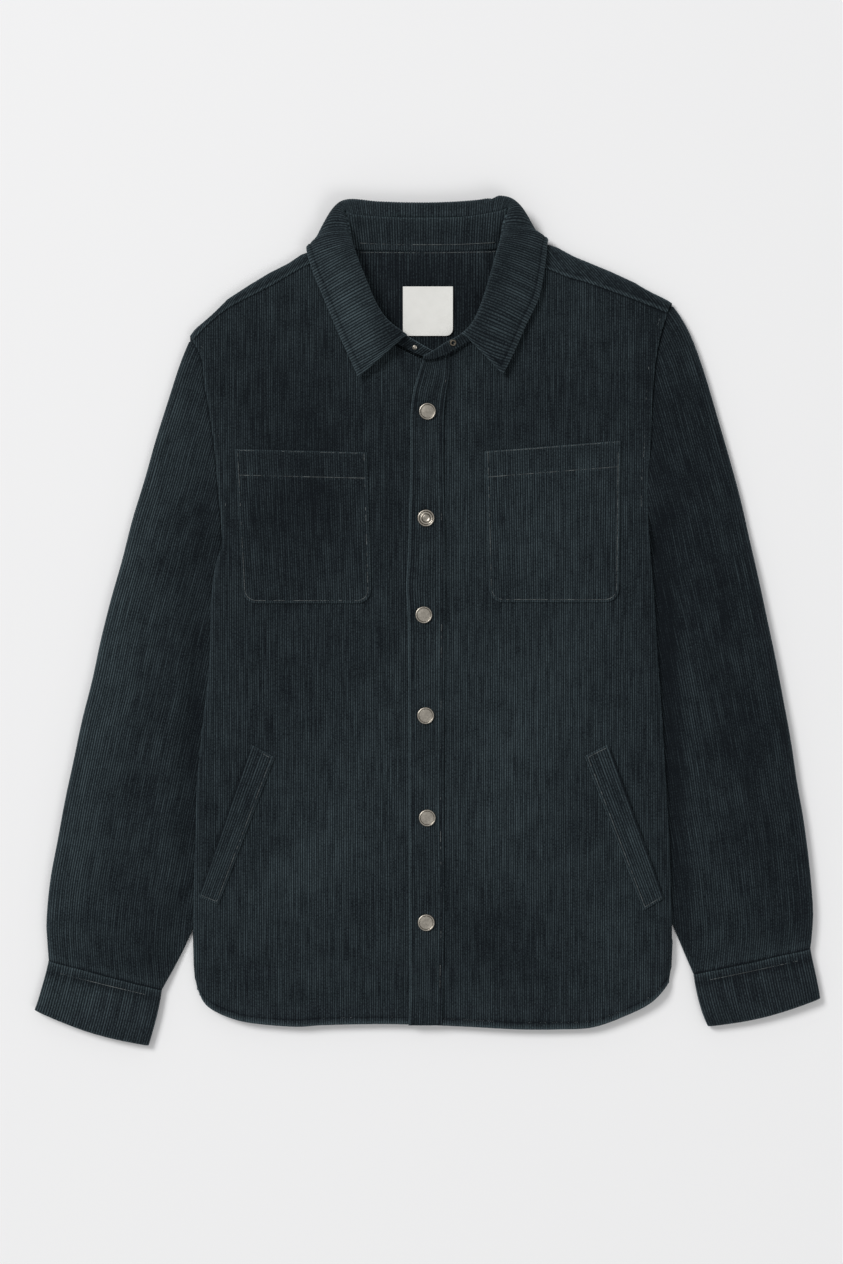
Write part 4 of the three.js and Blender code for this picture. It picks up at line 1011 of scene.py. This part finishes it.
def collar_stand():
    row = read_smooth(STAND, np.linspace(0, 1, 1200))
    middle = (points_in(row, "seam") + points_in(row, "top")) / 2
    place, stations, length = spread_wales(middle[:, :2])
    row = read_smooth(STAND, place)
    seam, top = points_in(row, "seam"), points_in(row, "top")
    rows = place * (len(STAND["topX"]) - 1)
    top[:, 2] += 1.8 * smooth((rows - 3) / 3) * smooth((22 - rows) / 3)
    face = np.array([0.02, 0.06, 0.14, 0.25, 0.4, 0.55, 0.7, 0.84, 0.94, 0.99])
    # Up the outer face, over the top, down the inner face and under the seam
    up = np.concatenate([face, [1], face[::-1], [0, face[0]]])[:, None]
    depth = np.concatenate([0 * face, [0.5], 0 * face + 1, [0.5, 0]])[:, None]
    points = seam + (top - seam) * up[..., None]
    normal = np.cross(top - seam, np.gradient(points, axis=1))
    normal /= np.maximum(1e-9, np.linalg.norm(normal, axis=-1, keepdims=True))
    count = stations / COLLAR_WALE
    end = quarter_round(np.minimum(stations, length - stations), 1.5)
    rib = relief(count) * (1 - 2 * depth) * end
    points = points + normal * (rib - depth * DOUBLE_WALL * end)[..., None]
    breadth = np.linalg.norm(top - seam, axis=-1)
    at_back = smooth((rows - 6) / 3) * smooth((19 - rows) / 3)
    # Lighter along the stand's top edge (worn pile and painted highlight), and painted light over
    # its back, strongest in a band just above the seam there
    wear_and_light = (0.75 * bell((1 - up) * breadth, 2) + 0.4 * at_back
            + 0.5 * at_back * bell(up * breadth - 3.5, 2.6))
    stand = grid("collar_stand_cloth", points, count, up * breadth, wear_and_light)
    return sewn(stand, turn=True)


# Pieces sewn on the fronts
def pocket_width(pocket):
    return pocket["footX1"] - pocket["footX0"]


def pocket_mouth(pocket, u):
    return lerp(pocket["mouthY0"], pocket["mouthY1"], u)


def pocket_x(pocket, u, v):
    """Where a place across and up a pocket lies along X."""
    return lerp(lerp(pocket["footX0"], pocket["footX1"], u),
                lerp(pocket["mouthX0"], pocket["mouthX1"], u), v)


POCKET_STITCH = 2.6
FACING = 24.5  # from a pocket's mouth down to the stitches of its facing
POCKET_EDGE_ROWS = np.array([0, 0.7, 1.6, 2.4, 3.4, 5.5])[:, None]
FACING_ROWS = np.array([-4, -1.4, 0, 1.4, 4])[:, None]


def chest_pocket(name):
    pocket = POCKETS[name]
    width, corner = pocket_width(pocket), pocket["corner"]
    stations = wale_stations(0, width, WALE)
    u = stations / width
    side = np.minimum(u, 1 - u) * width
    foot = pocket["footY"] + corner * edge_drop(side, corner)
    mouth = pocket_mouth(pocket, u)
    levels = np.arange(pocket["footY"] + 12, min(mouth) - 34, 8.5)
    y = rows_between(foot, mouth, levels, foot + POCKET_EDGE_ROWS, mouth - POCKET_EDGE_ROWS,
                     mouth - FACING - FACING_ROWS)
    x = pocket_x(pocket, u, (y - foot) / (mouth - foot))
    inset = np.minimum(rounded_inset(side + 0 * y, y - pocket["footY"], corner), mouth - y)
    to_facing = mouth - y - FACING
    z = (on_front(x, y) + relief(stations / WALE) - 1.1 * edge_drop(inset, 2.2)
         - 0.35 * bell(inset - POCKET_STITCH, 0.9) - 0.5 * bell(to_facing, 1.2))
    # Lighter round the pocket's edges, partly worn pile and partly painted highlight, and a little
    # lighter at and above its facing's stitch line
    wear_and_light = 0.8 * bell(inset, 2) + 0.3 * bell(to_facing, 2) + 0.12 * smooth(-to_facing / 2)
    cloth = grid(f"{name}_cloth", points_at(x, y, z), stations / WALE, y, wear_and_light)
    return sewn(cloth, LAID_WALL)


def welt_plan(name, u, v):
    """A place on a welt, across from its first side and up from its foot."""
    foot, top = ([lerp(WELTS[name][f"{end}{axis}0"], WELTS[name][f"{end}{axis}1"], u)
                  for axis in "XY"] for end in ("foot", "top"))
    return lerp(foot[0], top[0], v), lerp(foot[1], top[1], v)


WELT_WIDTH = 21.5
WELT_LENGTH = 150.0
WELT_STITCH = 2.4
WELT_END_ROWS = np.array([0, 0.7, 1.6, 2.6, 4, 7])


def welt(name):
    stations = wale_stations(0, WELT_WIDTH, WALE)
    u = stations / WELT_WIDTH
    ends = WELT_END_ROWS / WELT_LENGTH
    v = np.concatenate([ends, np.linspace(0.09, 0.91, 18), 1 - ends[::-1]])[:, None]
    x, y = welt_plan(name, u, v)
    to_end = np.minimum(v, 1 - v)
    inset = np.minimum(np.minimum(u, 1 - u) * WELT_WIDTH, to_end * WELT_LENGTH)
    from_mouth = u if WELTS[name]["stitched"] else 1 - u
    lift = 1.7 * bell(from_mouth, 0.3) * np.sin(math.pi * np.clip(v, 0, 1)) ** 0.5
    z = (on_front(x, y) + relief(stations / WALE) + lift - 1.1 * edge_drop(inset, 2.0)
         - 0.35 * bell(inset - WELT_STITCH - 0.2, 0.9))
    # Painted shade along the welt's mouth; lighter round its edges, partly worn pile and partly
    # painted highlight
    at_mouth = bell(from_mouth * WELT_WIDTH, 0.9) * smooth(to_end * 20)
    wear_and_light = 0.12 + 0.8 * bell(inset, 1.8) - 2.2 * at_mouth
    cloth = grid(f"{name}_cloth", points_at(x, y, z), stations / WALE, v * WELT_LENGTH, wear_and_light)
    return sewn(cloth, LAID_WALL)


PLACKET_WIDTH = 33.0
PLACKET_STITCH = 30.0  # from the free edge


def placket():
    stations = wale_stations(0, PLACKET_WIDTH, WALE)
    u = stations / PLACKET_WIDTH
    across, to_seam = u * PLACKET_WIDTH, (1 - u) * PLACKET_WIDTH
    ends = np.array([0, 0.8, 2, 4])
    bottom, top = PLACKET["y"][-1], PLACKET["y"][0]
    y = np.concatenate([bottom + ends, np.arange(bottom + 10, top - 8, 7.0), top - ends[::-1]])
    y = np.repeat(y[:, None], len(u), 1)
    x = lerp(read(PLACKET, "y", y, "free"), read(PLACKET, "y", y, "sewn"), u)
    y = y + 5.5 * u * smooth((y - 226) / 20)
    inset = np.minimum(np.minimum(across, to_seam), np.minimum(y - bottom, top - y))
    pulled = smooth((y - 196) / 12) * smooth((250 - y) / 12)
    pucker = (0.45 * np.sin(y / 5.3 + 2 * np.sin(y / 23)) * bell(to_seam, 7)
              + 0.8 * pulled * np.sin((y - 0.5 * x) / 2.6) * np.sin(math.pi * u) ** 2
              - 0.3 * bell(across - PLACKET_STITCH, 1.4))
    z = (on_front(x, y) + relief(stations / WALE) + pucker - 1.0 * edge_drop(inset, 2.0)
         - 0.4 * bell(across - PLACKET_STITCH, 0.9))
    # Lighter along the free edge, partly worn pile and partly painted highlight, a darker line 4 mm
    # in, a lighter one near the stitches, and painted shade in the stitch line
    wear_and_light = (2.1 * bell(across - 0.7, 0.95) - 0.5 * bell(across - 4, 1.2)
            + 0.5 * bell(across - 28, 1.2) - 0.8 * bell(across - PLACKET_STITCH - 0.2, 0.8))
    cloth = grid("placket_cloth", points_at(x, y, z), stations / WALE, y, wear_and_light)
    return sewn(cloth, LAID_WALL)


def inner_yoke():
    flat = yoke_flat("inner_yoke_cloth", 7, inner_yoke_top, YOKE_WALE, 1)
    return sewn(flat, WALL)


def neck_label():
    """The label, its lower corner on the wearer's left rounded off."""
    u = np.linspace(-0.5, 0.5, 33)
    v = u[:, None]
    corner = 6.5
    right = np.maximum(0, corner - (0.5 - u) * LABEL["width"]) + 0 * v
    down = np.maximum(0, corner - (v + 0.5) * LABEL["height"]) + 0 * u
    share = np.maximum(right, down) / np.maximum(1e-9, np.hypot(right, down))
    x = LABEL["x"] + u * LABEL["width"] + right * (share - 1)
    y = LABEL["y"] + v * LABEL["height"] + down * (1 - share)
    curl = 0.5 * bell(0.5 - u, 0.12) * np.cos(math.pi * v)
    z = inner_yoke_top(x, y) + LABEL_RISE + curl
    return sewn(grid("neck_label_cloth", points_at(x, y, z), x, y), LABEL_WALL)


# Topstitching
STITCH = 3.6
THREAD_RADIUS = 0.3


def thread(name, *lines, hidden=0.3):
    """Topstitching: thread that dips into the cloth after every stitch, along lines
    of points on the cloth. A share of the stitches sinks into the pile."""
    tubes = []
    draw = np.random.default_rng(len(name))
    turn = -np.linspace(0, 2 * math.pi, 6)[:, None]
    for line in lines:
        length = lengths_along(line)
        count = max(2, round(length[-1] / STITCH))
        at = np.append((np.arange(count)[:, None] + [0.0, 0.17, 0.83]).ravel(), count)
        at = at * length[-1] / count
        middle = np.stack([np.interp(at, length, line[:, axis]) for axis in range(3)], -1)
        forward = np.gradient(middle, axis=0)
        forward /= np.linalg.norm(forward, axis=-1, keepdims=True)
        run_ends = np.arange(0, count + 6, 5.0)
        runs = np.interp(np.arange(count), run_ends, draw.random(len(run_ends)))
        sunk = 0.8 * smooth((hidden - 0.5 * (runs + draw.random(count))) / 0.16 + 0.5)
        middle[:, 2] += np.append(np.tile([-0.55, 0.1, 0.1], count), -0.55)
        middle[:-1, 2] -= np.repeat(sunk, 3)
        side = np.cross(forward, [0, 0, 1.0])
        side /= np.linalg.norm(side, axis=-1, keepdims=True)
        up = np.cross(side, forward)
        radius = np.full(len(at), THREAD_RADIUS)
        radius[[0, -1]] = 0
        ring = side[:, None] * np.cos(turn) + up[:, None] * np.sin(turn)
        points = middle[:, None] + radius[:, None, None] * ring
        tubes.append(grid("stitches", points, at[:, None], turn[:, 0]))
    return sewn(joined(tubes, name))


def on_cloth(x, y, height):
    """A line of points on a surface, in place of its plan."""
    return points_at(x, y, height(*np.broadcast_arrays(x, y)))


def pocket_stitches(name):
    pocket = POCKETS[name]
    width, corner, inset = pocket_width(pocket), pocket["corner"], POCKET_STITCH
    turn = np.linspace(0, math.pi / 2, 9)
    bend = corner - (corner - inset) * np.cos(turn), corner - (corner - inset) * np.sin(turn)
    down = np.linspace(141, corner, 30)
    across = np.linspace(corner, width - corner, 24)
    side = np.concatenate([0 * down + inset, bend[0], across, width - bend[0][::-1],
                           0 * down + width - inset])
    up = np.concatenate([down, bend[1], 0 * across + inset, bend[1][::-1], down[::-1]])

    def placed(side, up):
        u = side / width
        mouth = pocket_mouth(pocket, u) - pocket["footY"]
        v = np.minimum(up, mouth - 0.8) / mouth
        return on_cloth(pocket_x(pocket, u, v), pocket["footY"] + v * mouth, on_front)

    facing = np.linspace(inset, width - inset, 30)
    facing_up = pocket_mouth(pocket, facing / width) - pocket["footY"] - FACING
    rim = np.linspace(1, width - 1, 30)
    return thread(f"{name}_stitching", placed(side, up), placed(facing, facing_up),
                  placed(rim, 0 * rim + 200) + [0, -0.4, -0.25],
                  hidden=0.5 if name == "pocket_chest_right" else 0.38)


def welt_stitches(name):
    near, v = WELT_STITCH / WELT_WIDTH, WELT_STITCH / WELT_LENGTH
    side = 1 - near if WELTS[name]["stitched"] else near
    u = np.concatenate([np.linspace(1 - side, side, 8), np.full(40, side),
                        np.linspace(side, 1 - side, 8)])
    run = np.concatenate([np.full(8, 1 - v), np.linspace(1 - v, v, 40), np.full(8, v)])
    return thread(f"{name}_stitching", on_cloth(*welt_plan(name, u, run), on_front))


def front_stitches(side, armhole, sewn_from, sewn_to):
    """A front's topstitching: inside its armhole seam, and above its hem."""
    inward = -np.sign(armhole["x"][0]) * ARMHOLE_STITCH
    hem_x = np.linspace(sewn_from, sewn_to, 120)
    return thread(f"front_{side}_stitching",
                  on_cloth(armhole["x"] + inward, armhole["y"] - 1, front_height) - [0, 0, 0.4],
                  on_cloth(hem_x, low_edge(hem_x) + HEM_STITCH, front_height) - [0, 0, 0.75],
                  hidden=0.75 if side == "right" else 0.5)


def stand_stitches():
    """Two rows where the stand's lining is sewn down inside the neck."""
    x = np.linspace(-64, 64, 60)
    seam = read(rows_of(STAND, slice(7, 18)), "seamX", x, "seamY")
    upper = points_at(x, seam + 5.4, 9.75)
    lower = points_at(x, read(YOKE_NECK, "x", x, "y") + 0.8, inner_yoke_top(x, 346) + 0.1)
    return thread("collar_stand_stitching", upper, lower)


def cuff_stitches(side, rows):
    place = np.linspace(0.05, 0.95, 50)
    x, y = cuff_plan(rows, np.array([CUFF_STITCH / CUFF_DEPTH]), place)
    to_end = np.minimum(place, 1 - place) * CUFF_SPAN
    lean = smooth((place - 0.5) / 0.5) * (CUFF_HEIGHT - CUFF_INNER_HEIGHT) / 2
    z = CUFF_HEIGHT * quarter_round(to_end, SLEEVE_ROLL) - lean - 0.1
    return thread(f"cuff_{side}_stitching", points_at(x[0], y[0], z)[4:-4], hidden=0.85)


def placket_stitches():
    y = np.linspace(228, -376, 160)
    free, seam = (read(PLACKET, "y", y, key) for key in ("free", "sewn"))
    line = on_cloth(lerp(free, seam, PLACKET_STITCH / PLACKET_WIDTH), y, on_front)
    return thread("placket_stitching", line - [0, 0, 0.3], hidden=0.72)


# Snaps
def raised(name, rings):
    """A disc raised ring by ring, each with its radius and height."""
    bpy.ops.object.select_all(action="DESELECT")
    bpy.ops.mesh.primitive_circle_add(vertices=44, radius=rings[0][0] * MM, fill_type="NGON")
    piece = bpy.context.object
    piece.name = name
    with whole_mesh_edited():
        for (before, below), (radius, height) in zip(rings, rings[1:]):
            bpy.ops.mesh.extrude_region_move(
                TRANSFORM_OT_translate={"value": (0, 0, (height - below) * MM)})
            share = radius / before
            bpy.ops.transform.resize(value=(share, share, 1), center_override=(0, 0, 0))
        bpy.ops.mesh.select_all(action="SELECT")
        bpy.ops.mesh.normals_make_consistent(inside=False)
    return piece


def put(piece, place, facing=(0, 0, 1)):
    """Sets a piece made at the origin on its place in metres, turned to face one way."""
    piece.location = place
    piece.rotation_euler = Vector(facing).to_track_quat("Z", "Y").to_euler()
    only(piece)
    bpy.ops.object.transform_apply(location=True, rotation=True, scale=True)
    bpy.ops.object.shade_smooth_by_angle(angle=math.radians(50))
    return piece


def snap_cap(node, dished):
    """A pressed cap with a rolled rim."""
    low, high = (np.array(corner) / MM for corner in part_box(node))
    middle = (low + high) / 2
    radius = (high[0] - low[0]) / 2
    tall = high[2] - low[2]
    rim = [(-1, 0), (0, 0.6), (0, 1.0), (-0.15, tall - 0.4), (-0.5, tall - 0.1),
           (-0.9, tall), (-1.25, tall - 0.1), (-1.6, tall - 0.45)]
    dome = [(-1.9, 0.62), (-2.5, 0.55), (-3.6, 0.42), (-4.8, 0.32), (-6, 0.26), (-7.4, 0.22)]
    dish = [(-2.2, 0.9), (-2.9, 1.05), (-3.5, 0.9), (-4.1, 0.6), (-4.6, 0.62), (-5.2, 0.95),
            (-6, 1.15), (-7.4, 1.15)]
    rings = rim + [(step, tall - drop) for step, drop in (dish if dished else dome)]
    cap = raised(f"{node}_cap", [(radius + step, height) for step, height in rings])
    return put(cap, (middle[0] * MM, middle[1] * MM, low[2] * MM))


def on_stand(place, share):
    """A place just off the stand's outer face, in metres, and which way it faces."""
    rows = read_smooth(STAND, place + np.array([-0.002, 0, 0.002]))
    seam, top = points_in(rows, "seam"), points_in(rows, "top")
    points = lerp(seam, top, share)
    facing = np.cross(top[1] - seam[1], points[2] - points[0])
    facing /= np.linalg.norm(facing)
    return (points[1] + SEAM_GAP * facing) * MM, facing


def stand_post():
    """The open snap's post on its flange."""
    rings = [(2.2, 0), (2.2, 0.35), (2.05, 0.55), (1.5, 0.66), (1.15, 0.8), (1.05, 1.1),
             (0.85, 1.3), (0.5, 1.38), (0.15, 1.4)]
    return put(raised("stand_post_turned", rings), *on_stand(0.05, 0.5))


def stand_eyelet():
    """The open snap's ring."""
    bpy.ops.object.select_all(action="DESELECT")
    bpy.ops.mesh.primitive_torus_add(major_segments=40, minor_segments=14,
                                     major_radius=2.3 * MM, minor_radius=0.9 * MM)
    ring = bpy.context.object
    ring.name = "stand_eyelet_ring"
    with whole_mesh_edited():
        bpy.ops.transform.resize(value=(1, 1, 0.5), center_override=(0, 0, 0))
        bpy.ops.transform.translate(value=(0, 0, 0.45 * MM))
    return put(ring, *on_stand(0.905, 0.68))


# Finishes
class Value:
    """A number that changes over a surface. Sums with it add Math nodes."""

    def __init__(self, finish, socket):
        self.finish = finish
        self.socket = socket

    def with_math(self, operation, *others, first=None):
        values = [self, *others] if first is None else [first, self]
        node = self.finish.node("ShaderNodeMath", {"operation": operation},
                                dict(enumerate(values)))
        return Value(self.finish, node.outputs[0])

    def __add__(self, other):
        return self.with_math("ADD", other)

    __radd__ = __add__

    def __mul__(self, other):
        return self.with_math("MULTIPLY", other)

    __rmul__ = __mul__

    def __sub__(self, other):
        return self.with_math("SUBTRACT", other)

    def __rsub__(self, other):
        return self.with_math("SUBTRACT", first=other)

    def __pow__(self, other):
        return self.with_math("POWER", other)

    def cosine(self):
        return self.with_math("COSINE")

    def size(self):
        return self.with_math("ABSOLUTE")


class Finish:
    """A material, built node by node."""

    def __init__(self, name):
        self.material = bpy.data.materials.new(name)
        self.material.use_nodes = True
        self.tree = self.material.node_tree
        self.tree.nodes.clear()

    def node(self, kind, settings=None, values=None):
        made = self.tree.nodes.new(kind)
        for key, setting in (settings or {}).items():
            setattr(made, key, setting)
        for key, value in (values or {}).items():
            self.join(made.inputs[key], value)
        return made

    def join(self, entry, value):
        if isinstance(value, Value):
            value = value.socket
        if isinstance(value, bpy.types.NodeSocket):
            self.tree.links.new(value, entry)
        else:
            entry.default_value = value

    def noise(self, place, scale, detail=2.0, roughness=0.5):
        made = self.node("ShaderNodeTexNoise", values={
            "Vector": place, "Scale": scale, "Detail": detail, "Roughness": roughness})
        return Value(self, made.outputs["Fac"])

    def stretched(self, place, sizes):
        made = self.node("ShaderNodeMapping", values={"Vector": place, "Scale": sizes})
        return made.outputs["Vector"]

    def mix(self, share, low, high):
        made = self.node("ShaderNodeMix", {"data_type": "RGBA"}, {0: share, 6: low, 7: high})
        return made.outputs[2]

    def shine(self, constants, **changing):
        made = self.node("ShaderNodeBsdfPrincipled")
        for key, value in constants.items():
            made.inputs[key].default_value = value
        for key, value in changing.items():
            self.join(made.inputs[key.replace("_", " ")], value)
        end = self.node("ShaderNodeOutputMaterial")
        self.tree.links.new(made.outputs[0], end.inputs["Surface"])
        return self.material

    def bump(self, height, distance, strength):
        made = self.node("ShaderNodeBump", values={
            "Height": height, "Distance": distance, "Strength": strength})
        return made.outputs["Normal"]


def corduroy_finish():
    finish = Finish("corduroy")
    wales = finish.node("ShaderNodeUVMap", {"uv_map": "wales"}).outputs[0]
    split = finish.node("ShaderNodeSeparateXYZ", values={0: wales})
    count = Value(finish, split.outputs[0])
    # The map named pile: the pile's wear and lay, together with painted light and shade
    wear_and_light_map = finish.node("ShaderNodeUVMap", {"uv_map": "pile"}).outputs[0]
    wear_and_light_split = finish.node("ShaderNodeSeparateXYZ", values={0: wear_and_light_map})
    wear_and_light, lay_and_light = (Value(finish, wear_and_light_split.outputs[axis]) for axis in (0, 1))
    # Lighter on the wales' ridges and almost black in their valleys: the pile's own tone, with
    # painted shade in the valleys and painted light on the ridges
    ridge = (count * math.pi).cosine().size() ** 1.7
    place = finish.node("ShaderNodeTexCoord").outputs["Object"]
    streaks = finish.noise(finish.stretched(wales, (1.7, 0.025, 1)), 1.0, 3) - 0.5
    fleck = finish.noise(finish.stretched(wales, (2.2, 0.6, 1)), 1.0, 3, 0.65) - 0.5
    patches = finish.noise(place, 11, 4, 0.6) - 0.5
    mottled = finish.noise(place, 70, 3, 0.6) - 0.5
    # The pile's cover varies at random; the lay adds its painted light and shade
    cover_and_light = 0.35 + streaks * 1.35 + fleck * 2.0 + patches * 0.45 + mottled * 0.5 + lay_and_light * 0.34
    tone = ridge * cover_and_light * (1 + lay_and_light * 0.35) + wear_and_light * (0.35 + fleck) * (0.25 + ridge * 0.75)
    colour = finish.mix(tone, (0.0019, 0.0034, 0.0054, 1), (0.053, 0.075, 0.084, 1))
    fibres = finish.noise(finish.stretched(wales, (5, 2.2, 1)), 1.0, 2)
    return finish.shine(
        {"Sheen Weight": 0.22, "Sheen Roughness": 0.45, "Sheen Tint": (0.55, 0.76, 0.88, 1),
         "Specular IOR Level": 0.12},
        Base_Color=colour, Roughness=0.9 + fleck * 0.12,
        Normal=finish.bump(fibres, 0.0004, 0.6))


def label_finish():
    finish = Finish("label_cloth")
    place = finish.node("ShaderNodeTexCoord").outputs["Object"]
    split = finish.node("ShaderNodeSeparateXYZ", values={0: place})
    weft, warp = (Value(finish, split.outputs[axis]) for axis in (0, 1))
    threads = (weft * 9000).cosine() * (warp * 7000).cosine()
    cloudy = finish.noise(place, 70, 3)
    colour = finish.mix(cloudy + threads * 0.08, (0.7, 0.695, 0.66, 1), (0.82, 0.815, 0.785, 1))
    return finish.shine({"Sheen Weight": 0.1}, Base_Color=colour, Roughness=0.8 + cloudy * 0.1,
                        Normal=finish.bump(threads, 0.0002, 0.35))


def thread_finish():
    finish = Finish("thread")
    spool = finish.node("ShaderNodeUVMap", {"uv_map": "wales"}).outputs[0]
    split = finish.node("ShaderNodeSeparateXYZ", values={0: spool})
    length, round_it = (Value(finish, split.outputs[axis]) for axis in (0, 1))
    twist = (length * 7 + round_it).cosine()
    place = finish.node("ShaderNodeTexCoord").outputs["Object"]
    faded = finish.noise(place, 150, 3, 0.6)
    colour = finish.mix(faded * 2.6 + twist * 0.15 - 0.95, (0.012, 0.017, 0.02, 1),
                        (0.15, 0.17, 0.17, 1))
    return finish.shine({"Sheen Weight": 0.15}, Base_Color=colour, Roughness=0.7 + faded * 0.2,
                        Normal=finish.bump(twist, 0.0001, 0.5))


def nickel_finish(name, dark, light):
    finish = Finish(name)
    place = finish.node("ShaderNodeTexCoord").outputs["Object"]
    tarnish = finish.noise(place, 420, 4, 0.6)
    brushed = finish.noise(finish.stretched(place, (1, 7, 1)), 900, 2)
    colour = finish.mix(tarnish, dark, light)
    return finish.shine({"Metallic": 1.0}, Base_Color=colour, Roughness=0.26 + brushed * 0.2,
                        Normal=finish.bump(brushed, 0.0001, 0.15))


def plain_finish(name, colour, roughness):
    return Finish(name).shine({"Base Color": colour, "Roughness": roughness})


CORDUROY = corduroy_finish()
NECK_LABEL = label_finish()
THREAD = thread_finish()
NICKEL = nickel_finish("nickel", (0.21, 0.19, 0.163, 1), (0.64, 0.595, 0.515, 1))
# A dark nickel, for the eyelet and the floors of the snaps' grooves
DARK_NICKEL = nickel_finish("dark_nickel", (0.03, 0.026, 0.022, 1), (0.16, 0.14, 0.11, 1))


def dress(piece, finish, slot, *nodes):
    """Gives a piece its finish and its place on the body, and hides the nodes it stands for."""
    piece.data.materials.clear()
    piece.data.materials.append(finish)
    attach(piece, "root")
    if nodes:
        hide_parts(*nodes)
    return piece


# Everything in its place
cloth = {
    "back_panel": (back(), (0.450, 0.609), 0.262, []),
    "front_right": (front("right", RIGHT_ARMHOLE, RIGHT_SIDE, RIGHT_NECK, RIGHT_YOKE_SEAM,
                          PLACKET_SEAM_X - SEAM_GAP), (0.234, 0.725), 0.139, ["back_panel"]),
    "front_left": (front("left", LEFT_ARMHOLE, LEFT_SIDE, LEFT_NECK, LEFT_YOKE_SEAM,
                         PLACKET_SEAM_X), (0.217, 0.725), 0.132, ["back_panel"]),
    "back_yoke": (back_yoke(), (0.450, 0.175), 0.062, []),
    "inner_yoke": (inner_yoke(), (0.434, 0.124), 0.046, ["back_yoke"]),
    "placket": (placket(), (0.035, 0.626), 0.0207, ["front_right", "front_left"]),
    "collar_leaf": (collar_leaf(), (0.455, 0.085), 0.0345, ["back_yoke", "collar_stand"]),
    "collar_stand": (collar_stand(), (0.430, 0.032), 0.0105, ["front_right", "front_left"]),
    "pocket_chest_right": (chest_pocket("pocket_chest_right"), (0.128, 0.146), 0.0177,
                           ["front_right"]),
    "pocket_chest_left": (chest_pocket("pocket_chest_left"), (0.128, 0.150), 0.0183,
                          ["front_left"]),
    "welt_right": (welt("welt_right"), (0.024, 0.153), 0.0034, ["front_right"]),
    "welt_left": (welt("welt_left"), (0.025, 0.156), 0.0036, ["front_left"]),
}
sleeves = {
    "right": Sleeve("right", RIGHT_SLEEVE_FOLD, RIGHT_SLEEVE_EDGE, RIGHT_ARMHOLE),
    "left": Sleeve("left", LEFT_SLEEVE_FOLD, LEFT_SLEEVE_EDGE, LEFT_ARMHOLE),
}
cloth["sleeve_right"] = (sleeve_cloth(sleeves["right"]), (0.30, 0.60), 0.148, [])
cloth["sleeve_left"] = (sleeve_cloth(sleeves["left"]), (0.30, 0.62), 0.152, [])
cloth["cuff_right"] = (cuff_cloth("right", RIGHT_CUFF), (0.235, 0.052), 0.0115, [])
cloth["cuff_left"] = (cuff_cloth("left", LEFT_CUFF), (0.235, 0.050), 0.0112, [])
stitching = {
    "front_right": front_stitches("right", RIGHT_ARMHOLE, -209, 12),
    "front_left": front_stitches("left", LEFT_ARMHOLE, 15, 220),
    "placket": placket_stitches(),
    "collar_stand": stand_stitches(),
    "cuff_right": cuff_stitches("right", RIGHT_CUFF),
    "cuff_left": cuff_stitches("left", LEFT_CUFF),
}
for name in POCKETS:
    stitching[name] = pocket_stitches(name)
for name in WELTS:
    stitching[name] = welt_stitches(name)
for piece in stitching.values():
    dress(piece, THREAD, "corduroy")
for node, (piece, flat, area, rests_on) in cloth.items():
    dress(piece, CORDUROY, "corduroy", node)
    sewn_on = [stitching[node]] if node in stitching else []
label = dress(neck_label(), NECK_LABEL, "label_cloth", "neck_label")
DISHED_SNAP = 2
for number in range(1, 7):
    node, dished = f"snap_{number}", number == DISHED_SNAP
    cap = dress(snap_cap(node, dished), NICKEL, "nickel", node)
    # The upward faces in the caps' grooves take the dark nickel, so the grooves look darker
    cap.data.materials.append(DARK_NICKEL)
    middle = sum(np.array(corner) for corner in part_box(node)) / 2
    for face in cap.data.polygons:
        reach = math.dist(face.center[:2], middle[:2]) / MM
        in_groove = 5.9 < reach < 6.7 or dished and 3.4 < reach < 4.6
        face.material_index = int(in_groove and face.normal[2] > 0)
dress(stand_post(), NICKEL, "nickel", "stand_post")
dress(stand_eyelet(), DARK_NICKEL, "nickel", "stand_eyelet")

# Floor, light and camera
bpy.ops.object.select_all(action="DESELECT")
bpy.ops.mesh.primitive_plane_add(size=14)
floor = bpy.context.object
floor.name = "floor"
floor.data.materials.append(plain_finish("pale_floor", (0.83, 0.83, 0.835, 1), 0.9))


def soft_light(name, place, size, power):
    light = bpy.data.lights.new(name, "AREA")
    light.shape = "DISK"
    light.size = size
    light.energy = power
    lamp = bpy.data.objects.new(name, light)
    bpy.context.scene.collection.objects.link(lamp)
    lamp.location = place
    aim = -lamp.location
    lamp.rotation_euler = aim.to_track_quat("-Z", "Y").to_euler()


soft_light("key", (-6.8, 5.4, 8.2), 4.6, 960)
soft_light("fill", (3.2, -3.6, 5.6), 3.6, 95)
world = bpy.data.worlds.new("studio")
bpy.context.scene.world = world
world.use_nodes = True
world.node_tree.nodes["Background"].inputs["Color"].default_value = (1, 1, 1, 1)
world.node_tree.nodes["Background"].inputs["Strength"].default_value = 0.45
bpy.context.scene.view_settings.view_transform = "Standard"

CAMERA_HEIGHT = 2.4
SEEN_LENGTH = 1.188  # the photo's long side, at the height of the fronts
SEEN_MIDDLE = (-0.0056, -0.0094)
SENSOR = 36
camera = bpy.data.objects.new("camera", bpy.data.cameras.new("camera"))
bpy.context.scene.collection.objects.link(camera)
camera.location = (*SEEN_MIDDLE, CAMERA_HEIGHT + FRONT_HEIGHT * MM)
camera.data.sensor_fit = "VERTICAL"
camera.data.sensor_height = SENSOR
camera.data.lens = SENSOR * CAMERA_HEIGHT / SEEN_LENGTH
camera.data.clip_end = 50
bpy.context.scene.camera = camera
